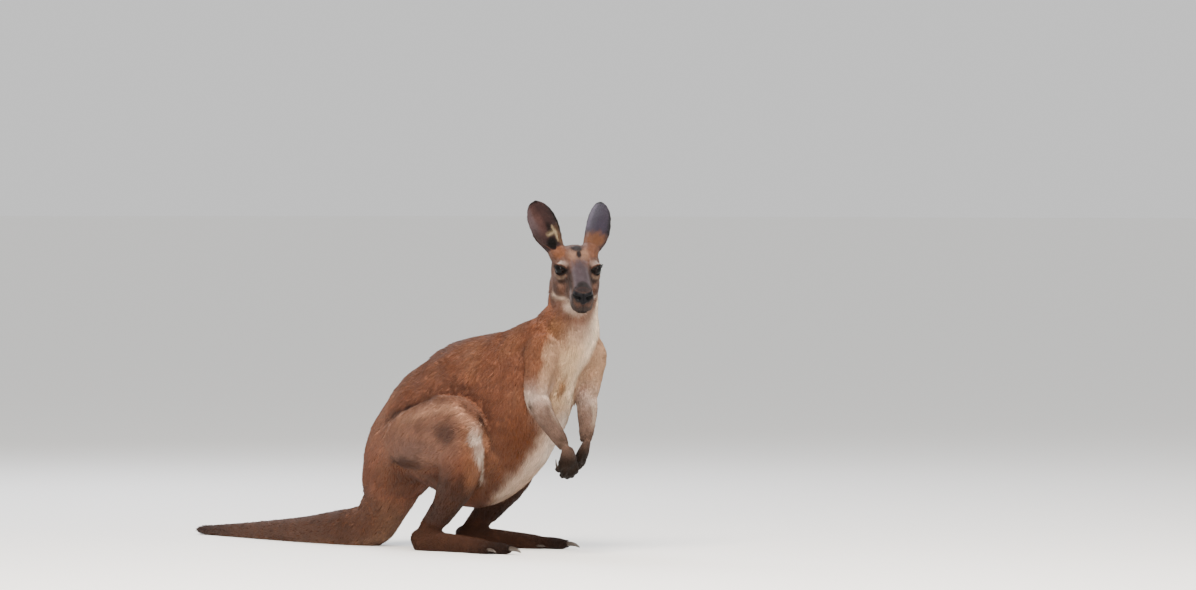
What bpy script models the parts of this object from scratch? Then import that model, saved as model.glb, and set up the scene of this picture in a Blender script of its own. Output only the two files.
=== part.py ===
"""A common wallaroo (euro), life size, crouched on its hind feet and tail, its head turned to its right.

Run with: blender --background --python part.py

Lengths are in millimetres until they are placed; the model is in metres, +Z up.
The animal faces -Y. A place is given as (forward, left, up) from a point on the floor
under the belly. The solids give the outside of the coat. The whole body is lofted from rings along
its spine and limbs, made one by a voxel remesh, thinned, and then parted with thin cuts.
"""

import math
from collections import namedtuple

import bmesh
import bpy
from mathutils import Matrix, Vector

MM = 0.001
CUT_GAP = 0.3  # the space that every cut leaves between two parts
SOCKET_GAP = 0.42  # the space round an eye or a claw in its socket
SIDES = ("right", "left")
BODY_VOXEL = 2.6
HAND_VOXEL = 1.3
RING_SIDES = 28
RINGS_BETWEEN = 5
CLAW_SIDES = 6
THINNED = {"body": 1640, "head": 1300, "foot": 300, "hand": 300}  # triangles left in each
SHARP_ANGLE = 40.0  # degrees between faces past which an edge is drawn sharp
UP = Vector((0, 0, 1))

# Colours are linear, from the coat's hex values.
COLOURS = {
    "coat_red": (0.26, 0.115, 0.062),
    "limb_grey": (0.27, 0.195, 0.15),
    "paw_dark": (0.075, 0.048, 0.036),
    "ear_grey": (0.12, 0.09, 0.085),
    "nose_black": (0.012, 0.012, 0.014),
    "eye_dark": (0.012, 0.008, 0.006),
    "claw_horn": (0.03, 0.025, 0.022),
}
GLOSS = {"nose_black": 0.38, "eye_dark": 0.08, "claw_horn": 0.35}

# A ring of a loft: its centre, half its width, its reach over and under the centre, how much wider it
# is on top (egg), and how far it is turned to the animal's right, in degrees.
Ring = namedtuple("Ring", "forward left up wide over under egg turn", defaults=(0.0, 0.0))


def place(forward, left, up):
    """A point in metres from its place in millimetres."""
    return Vector((left, -forward, up)) * MM


def heading(turn):
    """(forward, left) level unit vectors of something turned to the animal's right by this many degrees."""
    a = math.radians(turn)
    return Vector((-math.sin(a), -math.cos(a), 0)), Vector((math.cos(a), -math.sin(a), 0))


# ---------------------------------------------------------------- building shapes


def smooth_between(keys, steps):
    """Tuples on a Catmull-Rom curve through the key tuples, with this many steps from key to key."""
    padded = [keys[0], *keys, keys[-1]]
    found = []
    for a, b, c, d in zip(padded, padded[1:], padded[2:], padded[3:]):
        for i in range(steps):
            t = i / steps
            found.append(
                tuple(
                    q + 0.5 * t * (r - p + t * (2 * p - 5 * q + 4 * r - s + t * (3 * (q - r) + s - p)))
                    for p, q, r, s in zip(a, b, c, d)
                )
            )
    found.append(tuple(keys[-1]))
    return found


def add_ring(bm, matrix, outline, sides=RING_SIDES):
    """One closed ring of vertices: outline(angle) gives each point in the matrix's XY plane."""
    made = bmesh.ops.create_circle(bm, segments=sides, radius=1.0)["verts"]
    for i, v in enumerate(made):
        v.co = matrix @ Vector((*outline(2 * math.pi * i / sides), 0))
    return [bm.edges.get((a, b)) for a, b in zip(made, [*made[1:], made[0]])]


def bridge(bm, rings):
    """Skins the rings in order and closes both ends."""
    for a, b in zip(rings, rings[1:]):
        bmesh.ops.bridge_loops(bm, edges=a + b)
    for end in (rings[0], rings[-1]):
        bmesh.ops.contextual_create(bm, geom=end)
    bmesh.ops.recalc_face_normals(bm, faces=bm.faces)


def egg_outline(wide, over, under, egg, power=2.0):
    """A closed outline with its own reach over and under, wider on top where egg is above 0."""

    def at(angle):
        c, s = math.cos(angle), math.sin(angle)
        x = math.copysign(abs(c) ** (2 / power), c) * wide * (1 + egg * s)
        y = math.copysign(abs(s) ** (2 / power), s) * (over if s > 0 else under)
        return x * MM, y * MM

    return at


def loft(bm, keys, steps=RINGS_BETWEEN):
    """A closed tube of egg-shaped rings along the smooth path through the key rings."""
    rings = [Ring(*values) for values in smooth_between([tuple(k) for k in keys], steps)]
    centres = [place(r.forward, r.left, r.up) for r in rings]
    edges = []
    for i, ring in enumerate(rings):
        ahead = (centres[min(i + 1, len(rings) - 1)] - centres[max(i - 1, 0)]).normalized()
        side = heading(ring.turn)[1]
        side = (side - side.dot(ahead) * ahead).normalized()
        over = ahead.cross(side)
        matrix = Matrix((side, over, ahead)).transposed().to_4x4()
        matrix.translation = centres[i]
        outline = egg_outline(ring.wide, ring.over, ring.under, ring.egg)
        edges.append(add_ring(bm, matrix, outline))
    bridge(bm, edges)


def ball(bm, matrix, radii, subdivisions=3):
    """An ellipsoid with these radii in millimetres, set by a matrix."""
    made = bmesh.ops.create_icosphere(bm, subdivisions=subdivisions, radius=1.0)["verts"]
    scale = Matrix.Diagonal((*(r * MM for r in radii), 1.0))
    bmesh.ops.transform(bm, matrix=matrix @ scale, verts=made)


def finger(bm, frame, keys, steps=4, sides=RING_SIDES):
    """A round tapered tube in a frame: each key is (x, y, z, radius) in millimetres."""
    points = smooth_between(keys, steps)
    spots = [frame @ (Vector(p[:3]) * MM) for p in points]
    edges = []
    for i, (point, spot) in enumerate(zip(points, spots)):
        ahead = (spots[min(i + 1, len(spots) - 1)] - spots[max(i - 1, 0)]).normalized()
        matrix = ahead.to_track_quat("Z", "Y").to_matrix().to_4x4()
        matrix.translation = spot
        edges.append(add_ring(bm, matrix, egg_outline(point[3], point[3], point[3], 0), sides))
    bridge(bm, edges)


def new_object(name, bm, material=None):
    """A mesh object from a bmesh, linked to the scene."""
    mesh = bpy.data.meshes.new(name)
    bm.to_mesh(mesh)
    bm.free()
    obj = bpy.data.objects.new(name, mesh)
    bpy.context.scene.collection.objects.link(obj)
    if material:
        mesh.materials.append(material)
    return obj


def modified(obj, kind, **settings):
    """The object with one modifier applied to its mesh."""
    modifier = obj.modifiers.new(kind.title(), kind)
    for key, value in settings.items():
        setattr(modifier, key, value)
    graph = bpy.context.evaluated_depsgraph_get()
    mesh = bpy.data.meshes.new_from_object(obj.evaluated_get(graph))
    obj.modifiers.clear()
    old, obj.data = obj.data, mesh
    bpy.data.meshes.remove(old)
    return obj


def triangles(obj):
    return sum(len(p.vertices) - 2 for p in obj.data.polygons)


# ---------------------------------------------------------------- where things are

HEAD_TURN = 47.0
HEAD_PITCH = 25.0
EYES_MIDDLE = (309.0, -72.0, 605.0)
EYE_SPREAD = 35.5
EYE_UP = 2.0
EYE_RADIUS = 13.5
EAR_LENGTH = 117.0
EAR_GAP = 0.9  # from the stub to the middle of the ear's wall, whose flared foot dips below it
EAR_RAISED = 5.0  # how far the head's stub carries the ear out along its own axis
EAR_HOLLOW = 6.0
EAR_WALL = 4.2
EAR_BULGE = {"left": 6.0, "right": 0.0}  # how far the forward edge stands out
EAR_STUB = (48.0, 48.0, 30.0)  # the box that trims the head's stub level with the ear's base


def head_frame():
    """The head's matrix: X left, Y back, Z up, from the point midway between the eyes."""
    ahead, left = heading(HEAD_TURN)
    pitch = math.radians(HEAD_PITCH)
    along = ahead * math.cos(pitch) - UP * math.sin(pitch)
    crown = left.cross(-along)
    matrix = Matrix((left, -along, crown)).transposed().to_4x4()
    matrix.translation = place(*EYES_MIDDLE)
    return matrix


def head_point(forward, left, up):
    return head_frame() @ place(forward, left, up)


# Rings of the tail, trunk and neck, from the tail's tip up to inside the head.
SPINE = [
    Ring(-900, 160, 11, 9, 9, 9),
    Ring(-800, 132, 13, 15, 15, 16),
    Ring(-660, 86, 19, 21, 21, 23),
    Ring(-520, 42, 26, 28, 29, 31),
    Ring(-400, 14, 35, 36, 38, 40),
    Ring(-298, 2, 50, 45, 47, 54),
    Ring(-254, 0, 96, 56, 52, 56),
    Ring(-226, 0, 158, 84, 72, 76),
    Ring(-184, 0, 216, 106, 98, 100, 0.02),
    Ring(-115, 0, 251, 118, 143, 150, 0.10),
    Ring(-35, 0, 272, 120, 170, 187, 0.14, 4),
    Ring(53, -5, 312, 114, 166, 179, 0.10, 10),
    Ring(128, -12, 362, 101, 136, 143, 0.04, 17),
    Ring(188, -19, 417, 88, 98, 100, 0.0, 23),
    Ring(236, -18, 470, 80, 62, 70, 0.0, 29),
    Ring(259, -22, 524, 57, 46, 50, 0.0, 36),
    Ring(265, -26, 572, 54, 44, 46, 0.0, 42),
    Ring(270, -34, 600, 46, 38, 38, 0.0, 45),
]

# The right hind leg; the left one is its mirror image, set back a little.
THIGH = [
    Ring(-165, -62, 226, 40, 48, 50),
    Ring(-120, -86, 238, 54, 62, 66),
    Ring(-55, -108, 254, 58, 70, 74),
    Ring(4, -120, 266, 54, 74, 70),
    Ring(50, -126, 268, 45, 64, 60),
    Ring(80, -127, 264, 32, 42, 44),
    Ring(95, -126, 258, 16, 20, 24),
]
SHANK = [
    Ring(46, -122, 280, 36, 42, 36),
    Ring(44, -120, 222, 42, 48, 54),
    Ring(31, -114, 160, 37, 41, 54),
    Ring(-5, -106, 104, 27, 29, 40),
    Ring(-50, -99, 60, 21, 22, 28),
    Ring(-78, -96, 34, 17, 18, 22),
]
FOOT = [
    Ring(-108, -94, 20, 12, 14, 23),
    Ring(-92, -95, 24, 20, 22, 28),
    Ring(-50, -98, 24, 21, 20, 28),
    Ring(20, -104, 19, 22, 18, 23),
    Ring(80, -109, 16, 24, 15, 20),
    Ring(104, -111, 13, 18, 12, 17),
]
LEFT_LEG_BACK = 20.0
TOE_FORWARD = Vector((-0.07, -0.9975, 0))

# Arms: each from the shoulder to the wrist.
RIGHT_ARM = [
    Ring(212, -62, 468, 30, 38, 42, 0, 23),
    Ring(226, -86, 430, 36, 42, 44, 0, 23),
    Ring(223, -97, 380, 30, 32, 33, 0, 23),
    Ring(222, -102, 338, 26, 26, 28, 0, 23),
    Ring(245, -106, 300, 23, 21, 24, 0, 10),
    Ring(276, -108, 262, 19, 17, 18, 0, 5),
    Ring(306, -107, 224, 14, 13, 14, 0, 5),
]
LEFT_ARM = [
    Ring(232, 18, 468, 30, 38, 42, 0, 23),
    Ring(262, 36, 430, 34, 40, 42, 0, 23),
    Ring(264, 34, 380, 29, 31, 32, 0, 23),
    Ring(262, 28, 340, 24, 25, 27, 0, 23),
    Ring(270, 17, 302, 22, 20, 23, 0, 50),
    Ring(285, -7, 264, 17, 16, 17, 0, 60),
    Ring(300, -32, 234, 14, 12, 13, 0, 60),
]

# Rings of the head in its own frame: (forward, half width, top, bottom, egg), in millimetres.
HEAD = [
    (101, 11, -13, -31, 0.0),
    (98, 18, -6, -49, 0.02),
    (92, 22.5, -1, -59, 0.04),
    (83, 24, 3, -63.5, 0.05),
    (70, 24.5, 7, -64.5, 0.0),
    (50, 25.0, 11, -66, -0.02),
    (30, 26.5, 17, -68.5, -0.06),
    (13, 31.5, 24, -72, -0.08),
    (-2, 41, 29, -76, -0.02),
    (-18, 49, 34, -79, 0.03),
    (-36, 52, 37, -77, 0.02),
    (-56, 50, 33, -68, 0.0),
    (-76, 44, 22, -55, 0.0),
    (-92, 33, 5, -40, 0.0),
]
# Lumps on the head: (forward, left, up), radii; each is made on both sides.
HEAD_LUMPS = [
    ((-8, 29, 15), (22, 13, 9)),  # brow
    ((-2.5, 33.5, 2.5), (15, 15, 15)),  # lids
    ((-28, 35, -42), (42, 16, 33)),  # jaw muscle
    ((-12, 36, -18), (25, 14, 12)),  # cheek bone
    ((80, 12, -27), (17, 13, 16)),  # whisker pad
]

EAR_BASE = {"left": (-40, 28, 24), "right": (-40, -40, 21)}
# Each ear's own axis and the way its hollow faces, as (forward, left, up) directions.
EAR_AXIS = {"left": (-20, 75, 87), "right": (-53, -18, 104)}
EAR_FACES = {"left": (0.02, 0.93, -0.35), "right": (0.42, -0.86, 0.1)}
# Along the ear: (share of its length, half width, how far it is rolled, in degrees).
EAR_FORM = [
    (0.0, 17, 165),
    (0.12, 20.5, 138),
    (0.28, 26, 104),
    (0.45, 30, 78),
    (0.65, 29.5, 58),
    (0.82, 24, 44),
    (0.94, 15, 34),
    (1.0, 6, 28),
]

# ---------------------------------------------------------------- the whole body


def mirrored(rings):
    """The same rings on the left side of the body, set back a little."""
    return [r._replace(forward=r.forward - LEFT_LEG_BACK, left=-r.left, turn=-r.turn) for r in rings]


def ear_frame(side):
    """An ear's frame at its base: X across, Y the way its hollow faces, Z along it."""
    along = place(*EAR_AXIS[side]).normalized()
    faces = place(*EAR_FACES[side])
    faces = (faces - faces.dot(along) * along).normalized()
    matrix = Matrix((faces.cross(along), faces, along)).transposed().to_4x4()
    matrix.translation = head_point(*EAR_BASE[side]) + along * EAR_RAISED * MM
    return matrix


def add_head(bm):
    """The head as a loft of its own rings, with its lumps and the stubs that carry the ears."""
    frame = head_frame()
    edges = []
    for forward, wide, top, bottom, egg in smooth_between(HEAD, 3):
        middle, reach = (top + bottom) / 2, (top - bottom) / 2
        matrix = frame @ Matrix.Translation(place(forward, 0, middle)) @ Matrix.Rotation(math.pi / 2, 4, "X")
        edges.append(add_ring(bm, matrix, egg_outline(wide, reach, reach, egg, power=2.4)))
    bridge(bm, edges)
    for (forward, left, up), radii in HEAD_LUMPS:
        for side in (1, -1):
            matrix = frame @ Matrix.Translation(place(forward, left * side, up))
            ball(bm, matrix, (radii[1], radii[0], radii[2]))
    for side in EAR_BASE:
        finger(bm, ear_frame(side), [(0, 0, -34, 17), (0, 0, -16, 20), (0, 0, 0, 19.5), (0, 0, 6, 18)])


# Toes in the foot's front frame: (outward, forward, up, radius) keys, and each claw's keys.
TOES = {
    "fourth": [(1, 0, 14, 14), (2, 34, 13, 14), (3, 62, 12, 13), (3, 80, 11, 11), (3, 88, 10, 8)],
    "fifth": [(15, -14, 11, 10), (20, 16, 10, 10.5), (23, 36, 9, 9.5), (24, 46, 9, 7.5)],
    "second": [(-15, -26, 11, 6.5), (-18, 0, 8, 6.5), (-19, 20, 7, 6), (-19.5, 27, 7, 4.5)],
    "third": [(-10, -26, 11, 6.5), (-11.5, 2, 8, 6.5), (-12.5, 23, 7, 6), (-13, 30, 7, 4.5)],
}
TOE_CLAWS = {
    "fourth": [(3, 76, 11, 6.6), (3, 94, 13, 6.2), (3, 108, 10, 4.0), (3, 117, 5, 1.2)],
    "fifth": [(24, 38, 9, 4.8), (24.5, 50, 10.5, 4.2), (25, 60, 8, 2.8), (25, 66, 4.5, 1.0)],
    "second": [(-19.5, 20, 7, 2.6), (-20, 30, 8, 2.4), (-20, 37, 4.5, 0.8)],
    "third": [(-13, 23, 7, 2.6), (-13.5, 33, 8, 2.4), (-13.5, 40, 4.5, 0.8)],
}
TOES_START = 80.0  # how far forward the toes' own frame lies

# Hands: the wrist, the way the hand hangs and the way its palm faces.
HANDS = {
    "right": ((306, -107, 222), (-6, 14, -62), (-0.78, 0.6, -0.1)),
    "left": ((300, -32, 233), (-18, -8, -54), (-0.93, -0.3, -0.2)),
}
PALM = [(0, -11, 0, 9), (0, -4, -1, 12.6), (0, 10, -1, 16.2), (0, 26, 0, 17.6), (0, 38, 2, 12.5)]
PALM_WIDER, PALM_FLATTER = 1.12, 0.68
FINGERS = {"thumb": (-15, 18), "index": (-8, 32), "middle": (-0.5, 36), "ring": (7, 34), "little": (13.5, 27)}
FINGER_CURL = [(0, 0, 7.0), (13, 0, 6.8), (21, 7, 6.4), (22, 17, 5.6), (20, 22, 4.4)]
CLAW_CURL = [(21, 16, 3.2), (18, 25, 2.8), (12, 32, 1.9), (5, 35, 0.7)]


def foot_frame(side):
    """A foot's front frame: X outward from the body, Y along the toes, Z up."""
    out = -1 if side == "right" else 1
    ahead = Vector((-TOE_FORWARD.x * out, TOE_FORWARD.y, 0)).normalized()
    matrix = Matrix((ahead.cross(UP) * -out, ahead, UP)).transposed().to_4x4()
    back = LEFT_LEG_BACK if side == "left" else 0.0
    matrix.translation = place(TOES_START - back, FOOT[-1].left * -out, 0)
    return matrix


def hand_frame(side):
    """A hand's frame at the wrist: X across, Y along the hand, Z out of its palm."""
    wrist, along, palm = HANDS[side]
    along = place(*along).normalized()
    palm = place(*palm)
    palm = (palm - palm.dot(along) * along).normalized()
    matrix = Matrix((along.cross(palm), along, palm)).transposed().to_4x4()
    matrix.translation = place(*wrist)
    return matrix


def fanned(curl, name):
    """A finger's or a claw's keys, moved to its place in the hand's fan and turned out a little."""
    spread, start = FINGERS[name]
    return [(spread * (1 + along * 0.012), start + along, z - abs(spread) * 0.15, r) for along, z, r in curl]


def add_hand(bm, side):
    frame = hand_frame(side)
    finger(bm, frame, PALM)
    flat = frame @ Matrix.Diagonal((PALM_WIDER, 1, PALM_FLATTER, 1)) @ frame.inverted()
    bmesh.ops.transform(bm, matrix=flat, verts=bm.verts)
    for name in FINGERS:
        finger(bm, frame, fanned(FINGER_CURL, name))


# Where the remeshed joins are smoothed most: (forward, left, up), reach in millimetres.
SOFT_PLACES = [
    ((205, -80, 450), 95),
    ((255, 30, 450), 95),
    ((255, -28, 545), 70),
    ((225, -25, 480), 90),
    ((-230, 0, 130), 110),
    ((-170, -75, 240), 85),
    ((-170, 75, 240), 85),
    ((45, -120, 235), 50),
    ((25, 120, 235), 50),
    ((-60, -98, 60), 36),
    ((-80, 98, 60), 36),
    ((80, 0, 220), 130),
]
HEAD_SOFT_PLACES = [((14, 36, -44), 34), ((14, -36, -44), 34)]  # in the head's frame


def soften_joins(obj):
    """Smooths the whole a little, and the joins between lofts much more."""
    modified(obj, "SMOOTH", factor=0.5, iterations=4)
    group = obj.vertex_groups.new(name="joins")
    spots = [(place(*spot), reach * MM) for spot, reach in SOFT_PLACES]
    spots += [(head_point(*spot), reach * MM) for spot, reach in HEAD_SOFT_PLACES]
    for v in obj.data.vertices:
        weight = max(1 - (v.co - spot).length / reach for spot, reach in spots)
        if weight > 0:
            group.add([v.index], min(1.0, weight * 2.2), "REPLACE")
    return modified(obj, "SMOOTH", factor=0.5, iterations=30, vertex_group="joins")


def remeshed(bm, name, voxel):
    obj = new_object(name, bm)
    return modified(obj, "REMESH", mode="VOXEL", voxel_size=voxel * MM)


def whole_body():
    """Everything but the hands, made one."""
    bm = bmesh.new()
    loft(bm, SPINE)
    add_head(bm)
    for arm in (RIGHT_ARM, LEFT_ARM):
        loft(bm, arm)
    for side in ("right", "left"):
        for rings in (THIGH, SHANK, FOOT):
            loft(bm, rings if side == "right" else mirrored(rings))
        for keys in TOES.values():
            finger(bm, foot_frame(side), keys)
    return soften_joins(remeshed(bm, "whole", BODY_VOXEL))


# ---------------------------------------------------------------- parting it


def copied(obj, name):
    other = obj.copy()
    other.data = obj.data.copy()
    other.name = name
    bpy.context.scene.collection.objects.link(other)
    return other


def sliced(obj, point, normal):
    """Takes away what lies ahead of the plane and closes the mesh again."""
    bm = bmesh.new()
    bm.from_mesh(obj.data)
    geom = [*bm.verts, *bm.edges, *bm.faces]
    bmesh.ops.bisect_plane(bm, geom=geom, plane_co=point, plane_no=normal, clear_outer=True, dist=1e-7)
    bmesh.ops.holes_fill(bm, edges=[e for e in bm.edges if e.is_boundary], sides=0)
    bmesh.ops.triangulate(bm, faces=[f for f in bm.faces if len(f.verts) > 4])
    bm.to_mesh(obj.data)
    bm.free()
    return obj


def islands(bm):
    """The faces of each separate piece of the mesh."""
    todo, found = set(bm.faces), []
    while todo:
        piece, front = set(), [todo.pop()]
        while front:
            face = front.pop()
            piece.add(face)
            near = {f for e in face.edges for f in e.link_faces} & todo
            todo -= near
            front.extend(near)
        found.append(piece)
    return found


def only_piece(obj, spot=None):
    """Keeps the piece of the mesh nearest to the spot, or its largest piece."""
    bm = bmesh.new()
    bm.from_mesh(obj.data)
    pieces = islands(bm)
    if spot is None:
        kept = max(pieces, key=lambda piece: sum(f.calc_area() for f in piece))
    else:
        kept = min(pieces, key=lambda piece: min((f.calc_center_median() - spot).length for f in piece))
    for piece in pieces:
        if piece is not kept:
            bmesh.ops.delete(bm, geom=list(piece), context="FACES")
    bm.to_mesh(obj.data)
    bm.free()
    return obj


def thinned(obj, wanted):
    return modified(obj, "DECIMATE", ratio=wanted / triangles(obj), use_collapse_triangulate=True)


def slab(point, normal, size, gap=0.0):
    """A box with its near face centred on the point and its depth along the normal.

    Its size is (level, upright, depth).
    """
    normal = normal.normalized()
    level = normal.cross(UP).normalized() if abs(normal.z) < 0.95 else Vector((1, 0, 0))
    level = (level - level.dot(normal) * normal).normalized()
    matrix = Matrix((level, normal.cross(level), normal)).transposed().to_4x4()
    matrix.translation = point + normal * size[2] * MM / 2
    bm = bmesh.new()
    bmesh.ops.create_cube(bm, size=1.0)
    shape = Matrix.Diagonal((*((s + 2 * gap) * MM for s in size), 1))
    bmesh.ops.transform(bm, matrix=matrix @ shape, verts=bm.verts)
    bmesh.ops.recalc_face_normals(bm, faces=bm.faces)
    return new_object("cutter", bm)


def cut_by(obj, cutter, operation):
    modified(obj, "BOOLEAN", object=cutter, operation=operation, solver="EXACT")
    bpy.data.objects.remove(cutter)
    return obj


def carve(body, name, point, normal, size):
    """Parts from the body what lies in the box, leaving a thin gap."""
    part = cut_by(copied(body, name), slab(point, normal, size), "INTERSECT")
    cut_by(body, slab(point, normal, size, gap=CUT_GAP), "DIFFERENCE")
    return only_piece(part)


def carve_plane(body, name, point, normal):
    """Parts from the body all that lies ahead of the plane, leaving a thin gap."""
    half = normal.normalized() * CUT_GAP * MM / 2
    part = sliced(copied(body, name), point + half, -normal)
    sliced(body, point - half, normal)
    return only_piece(part)


# ---------------------------------------------------------------- ears, eyes and claws


def make_ear(side):
    """A leaf-shaped sheet rolled about its long axis, tightest at its base, then given a wall."""
    bm = bmesh.new()
    bmesh.ops.create_grid(bm, x_segments=8, y_segments=9, size=1.0)
    form = smooth_between(EAR_FORM, 8)
    for v in bm.verts:
        at = min((v.co.y + 1) / 2 * (len(form) - 1), len(form) - 1.001)
        low, high = form[int(at)], form[int(at) + 1]
        along, wide, roll = (a + (b - a) * (at % 1) for a, b in zip(low, high))
        roll = math.radians(roll)
        radius = wide / math.sin(min(roll, math.pi / 2))
        angle = v.co.x * roll
        lean = EAR_HOLLOW * math.sin(math.pi * along)
        deep = radius * (1 - math.cos(angle)) - EAR_FORM[0][1] - lean
        aside = radius * math.sin(angle) + EAR_BULGE[side] * math.sin(math.pi * along)
        v.co = Vector((aside, deep, along * EAR_LENGTH + EAR_GAP)) * MM
    bmesh.ops.recalc_face_normals(bm, faces=bm.faces)
    bmesh.ops.transform(bm, matrix=ear_frame(side), verts=bm.verts)
    return modified(new_object("ear_" + side, bm), "SOLIDIFY", thickness=EAR_WALL * MM, offset=0.0)


def make_eye(side, more=0.0):
    """An eyeball, or with more above 0 the slightly larger socket it sits in."""
    middle = head_point(0, EYE_SPREAD * (1 if side == "left" else -1), EYE_UP)
    bm = bmesh.new()
    made = bmesh.ops.create_uvsphere(bm, u_segments=12, v_segments=8, radius=(EYE_RADIUS + more) * MM)
    bmesh.ops.translate(bm, vec=middle, verts=made["verts"])
    return new_object("eye_" + side, bm)


def make_claw(frame, keys, name, more=0.0):
    """A claw, or with more above 0 the slightly larger socket it sits in."""
    root, after = Vector(keys[0][:3]), Vector(keys[1][:3])
    deeper = root + (root - after).normalized() * 2 * more
    spots = [deeper, *(key[:3] for key in keys[1:])]
    grown = [(*spot, key[3] + more) for spot, key in zip(spots, keys)]
    bm = bmesh.new()
    finger(bm, frame, grown, steps=1, sides=CLAW_SIDES)
    return new_object(name, bm)


def seated(part, make, *args):
    """A separate piece made by make, with a socket for it cut into the part."""
    cut_by(part, make(*args, more=SOCKET_GAP), "DIFFERENCE")
    return make(*args)


# ---------------------------------------------------------------- the model

# The trunk's parts from the neck back: a point and direction; each part lies ahead of its plane.
SPINE_CUTS = {
    "neck": ((236, -25, 492), (0.5, -0.1, 0.86)),
    "chest": ((108, -10, 340), (0.8, 0, 0.6)),
    "belly": ((-112, 0, 252), (1, 0, 0.1)),
    "rump": ((-246, 0, 128), (0.55, 0, 0.83)),
    "tail_base": ((-400, 8, 36), (1, 0, 0)),
    "tail_middle": ((-655, 60, 20), (1, 0, 0)),
}
NECK_TOP = ((-50, 0, -53), (-0.591, 0, -0.806))  # in the head's frame
NOSE_BACK = ((93, 0, -15), (0.958, 0, 0.285))  # in the head's frame
KNEE = ((-6, -124, 201), (0.34, 0, -0.94))
FOOT_TOP = 66.0
# Each arm: where it parts from the chest, the elbow and the wrist, as points and directions.
SHOULDERS = {"right": ((222, -74, 386), (0.3, -0.95, 0)), "left": ((242, 16, 386), (0.76, 0.64, 0))}
ELBOWS = {"right": ((228, -102, 326), (0.5, 0, -0.86)), "left": ((266, 22, 326), (0.35, -0.5, -0.79))}
WRISTS = {"right": ((299, -107, 232), (0.6, 0, -0.8)), "left": ((295, -24, 243), (0.39, -0.6, -0.7))}
MARGIN = 7.0  # left on dense pieces until they have been thinned

COAT = {
    "coat_red": ("head", "neck", "chest", "belly", "rump", "thigh", "upper_arm", "tail_base"),
    "limb_grey": ("shank", "forearm", "tail_middle", "tail_tip"),
    "paw_dark": ("hand", "foot"),
    "ear_grey": ("ear",),
    "nose_black": ("nose",),
    "eye_dark": ("eye",),
    "claw_horn": ("claw",),
}


def ends_at(obj, point, normal, gap=CUT_GAP / 2):
    """The mesh with a clean flat end a little short of the plane."""
    return sliced(obj, point - normal.normalized() * gap * MM, normal)


def spot_and_way(pair, side="right", back=0.0):
    """A placed point and direction, mirrored to the left side if need be."""
    sign = 1 if side == "right" else -1
    (forward, left, up), (ahead, across, rise) = pair
    return place(forward - back, left * sign, up), place(ahead, across * sign, rise).normalized()


def model():
    """Every part of the animal by name."""
    parts = {}
    whole = whole_body()
    turned = head_frame().to_3x3()
    throat = head_point(*NECK_TOP[0])
    backward = (turned @ place(*NECK_TOP[1])).normalized()
    spare = backward * MARGIN * MM

    head = thinned(only_piece(sliced(copied(whole, "head"), throat + spare, backward)), THINNED["head"])
    ends_at(head, throat, backward)
    for side in SIDES:
        foot_name = "foot_" + side
        foot = sliced(copied(whole, foot_name), Vector((0, 0, (FOOT_TOP + MARGIN) * MM)), UP)
        only_piece(foot, foot_frame(side).translation)
        thinned(foot, THINNED["foot"])
        ends_at(foot, Vector((0, 0, FOOT_TOP * MM)), UP, gap=CUT_GAP)
        parts[foot_name] = ends_at(foot, Vector(), -UP, gap=0)
    body = thinned(sliced(whole, throat - spare, -backward), THINNED["body"])
    ends_at(body, throat, -backward)
    ends_at(body, Vector(), -UP, gap=0)

    for side in SIDES:
        back = LEFT_LEG_BACK if side == "left" else 0.0
        point, way = spot_and_way(((-8, -98, FOOT_TOP), (0, 0, -1)), side, back)
        bpy.data.objects.remove(carve(body, "spent", point, way, (104, 280, 90)))
        point, way = spot_and_way(KNEE, side, back)
        parts["shank_" + side] = carve(body, "shank_" + side, point, way, (104, 226, 200))
        point, way = spot_and_way(((-30, -90, 262), (0, -1, 0)), side, back)
        parts["thigh_" + side] = carve(body, "thigh_" + side, point, way, (290, 190, 130))
        for name, pair, size in (
            ("forearm_", ELBOWS[side], (56, 62, 190)),
            ("upper_arm_", SHOULDERS[side], (70, 160, 84)),
        ):
            parts[name + side] = carve(body, name + side, *spot_and_way(pair), size)
        ends_at(parts["forearm_" + side], *spot_and_way(WRISTS[side]))
    for name, pair in SPINE_CUTS.items():
        parts[name] = carve_plane(body, name, *spot_and_way(pair))
    body.name = "tail_tip"
    parts["tail_tip"] = only_piece(body)

    point, way = head_point(*NOSE_BACK[0]), (turned @ place(*NOSE_BACK[1])).normalized()
    parts["nose"] = carve(head, "nose", point, way, (70, 38, 30))
    parts["head"] = head
    for side in SIDES:
        stub = ear_frame(side)
        cut_by(head, slab(stub.translation, stub.col[2].to_3d(), EAR_STUB), "DIFFERENCE")
        parts["ear_" + side] = make_ear(side)
        parts["eye_" + side] = seated(head, make_eye, side)
    only_piece(head)

    for side in SIDES:
        bm = bmesh.new()
        add_hand(bm, side)
        hand = thinned(remeshed(bm, "hand_" + side, HAND_VOXEL), THINNED["hand"])
        point, way = spot_and_way(WRISTS[side])
        parts["hand_" + side] = ends_at(hand, point, -way)
        for finger_name in FINGERS:
            name = f"claw_{finger_name}_{side}"
            keys = fanned(CLAW_CURL, finger_name)
            parts[name] = seated(hand, make_claw, hand_frame(side), keys, name)
        only_piece(hand)
        foot = parts["foot_" + side]
        for toe, keys in TOE_CLAWS.items():
            name = f"claw_toe_{toe}_{side}"
            parts[name] = seated(foot, make_claw, foot_frame(side), keys, name)
        only_piece(foot)
    return parts


def coat_material(name):
    material = bpy.data.materials.new(name)
    material.use_nodes = True
    shader = material.node_tree.nodes["Principled BSDF"]
    shader.inputs["Base Color"].default_value = (*COLOURS[name], 1)
    shader.inputs["Roughness"].default_value = GLOSS.get(name, 0.9)
    return material


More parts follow.
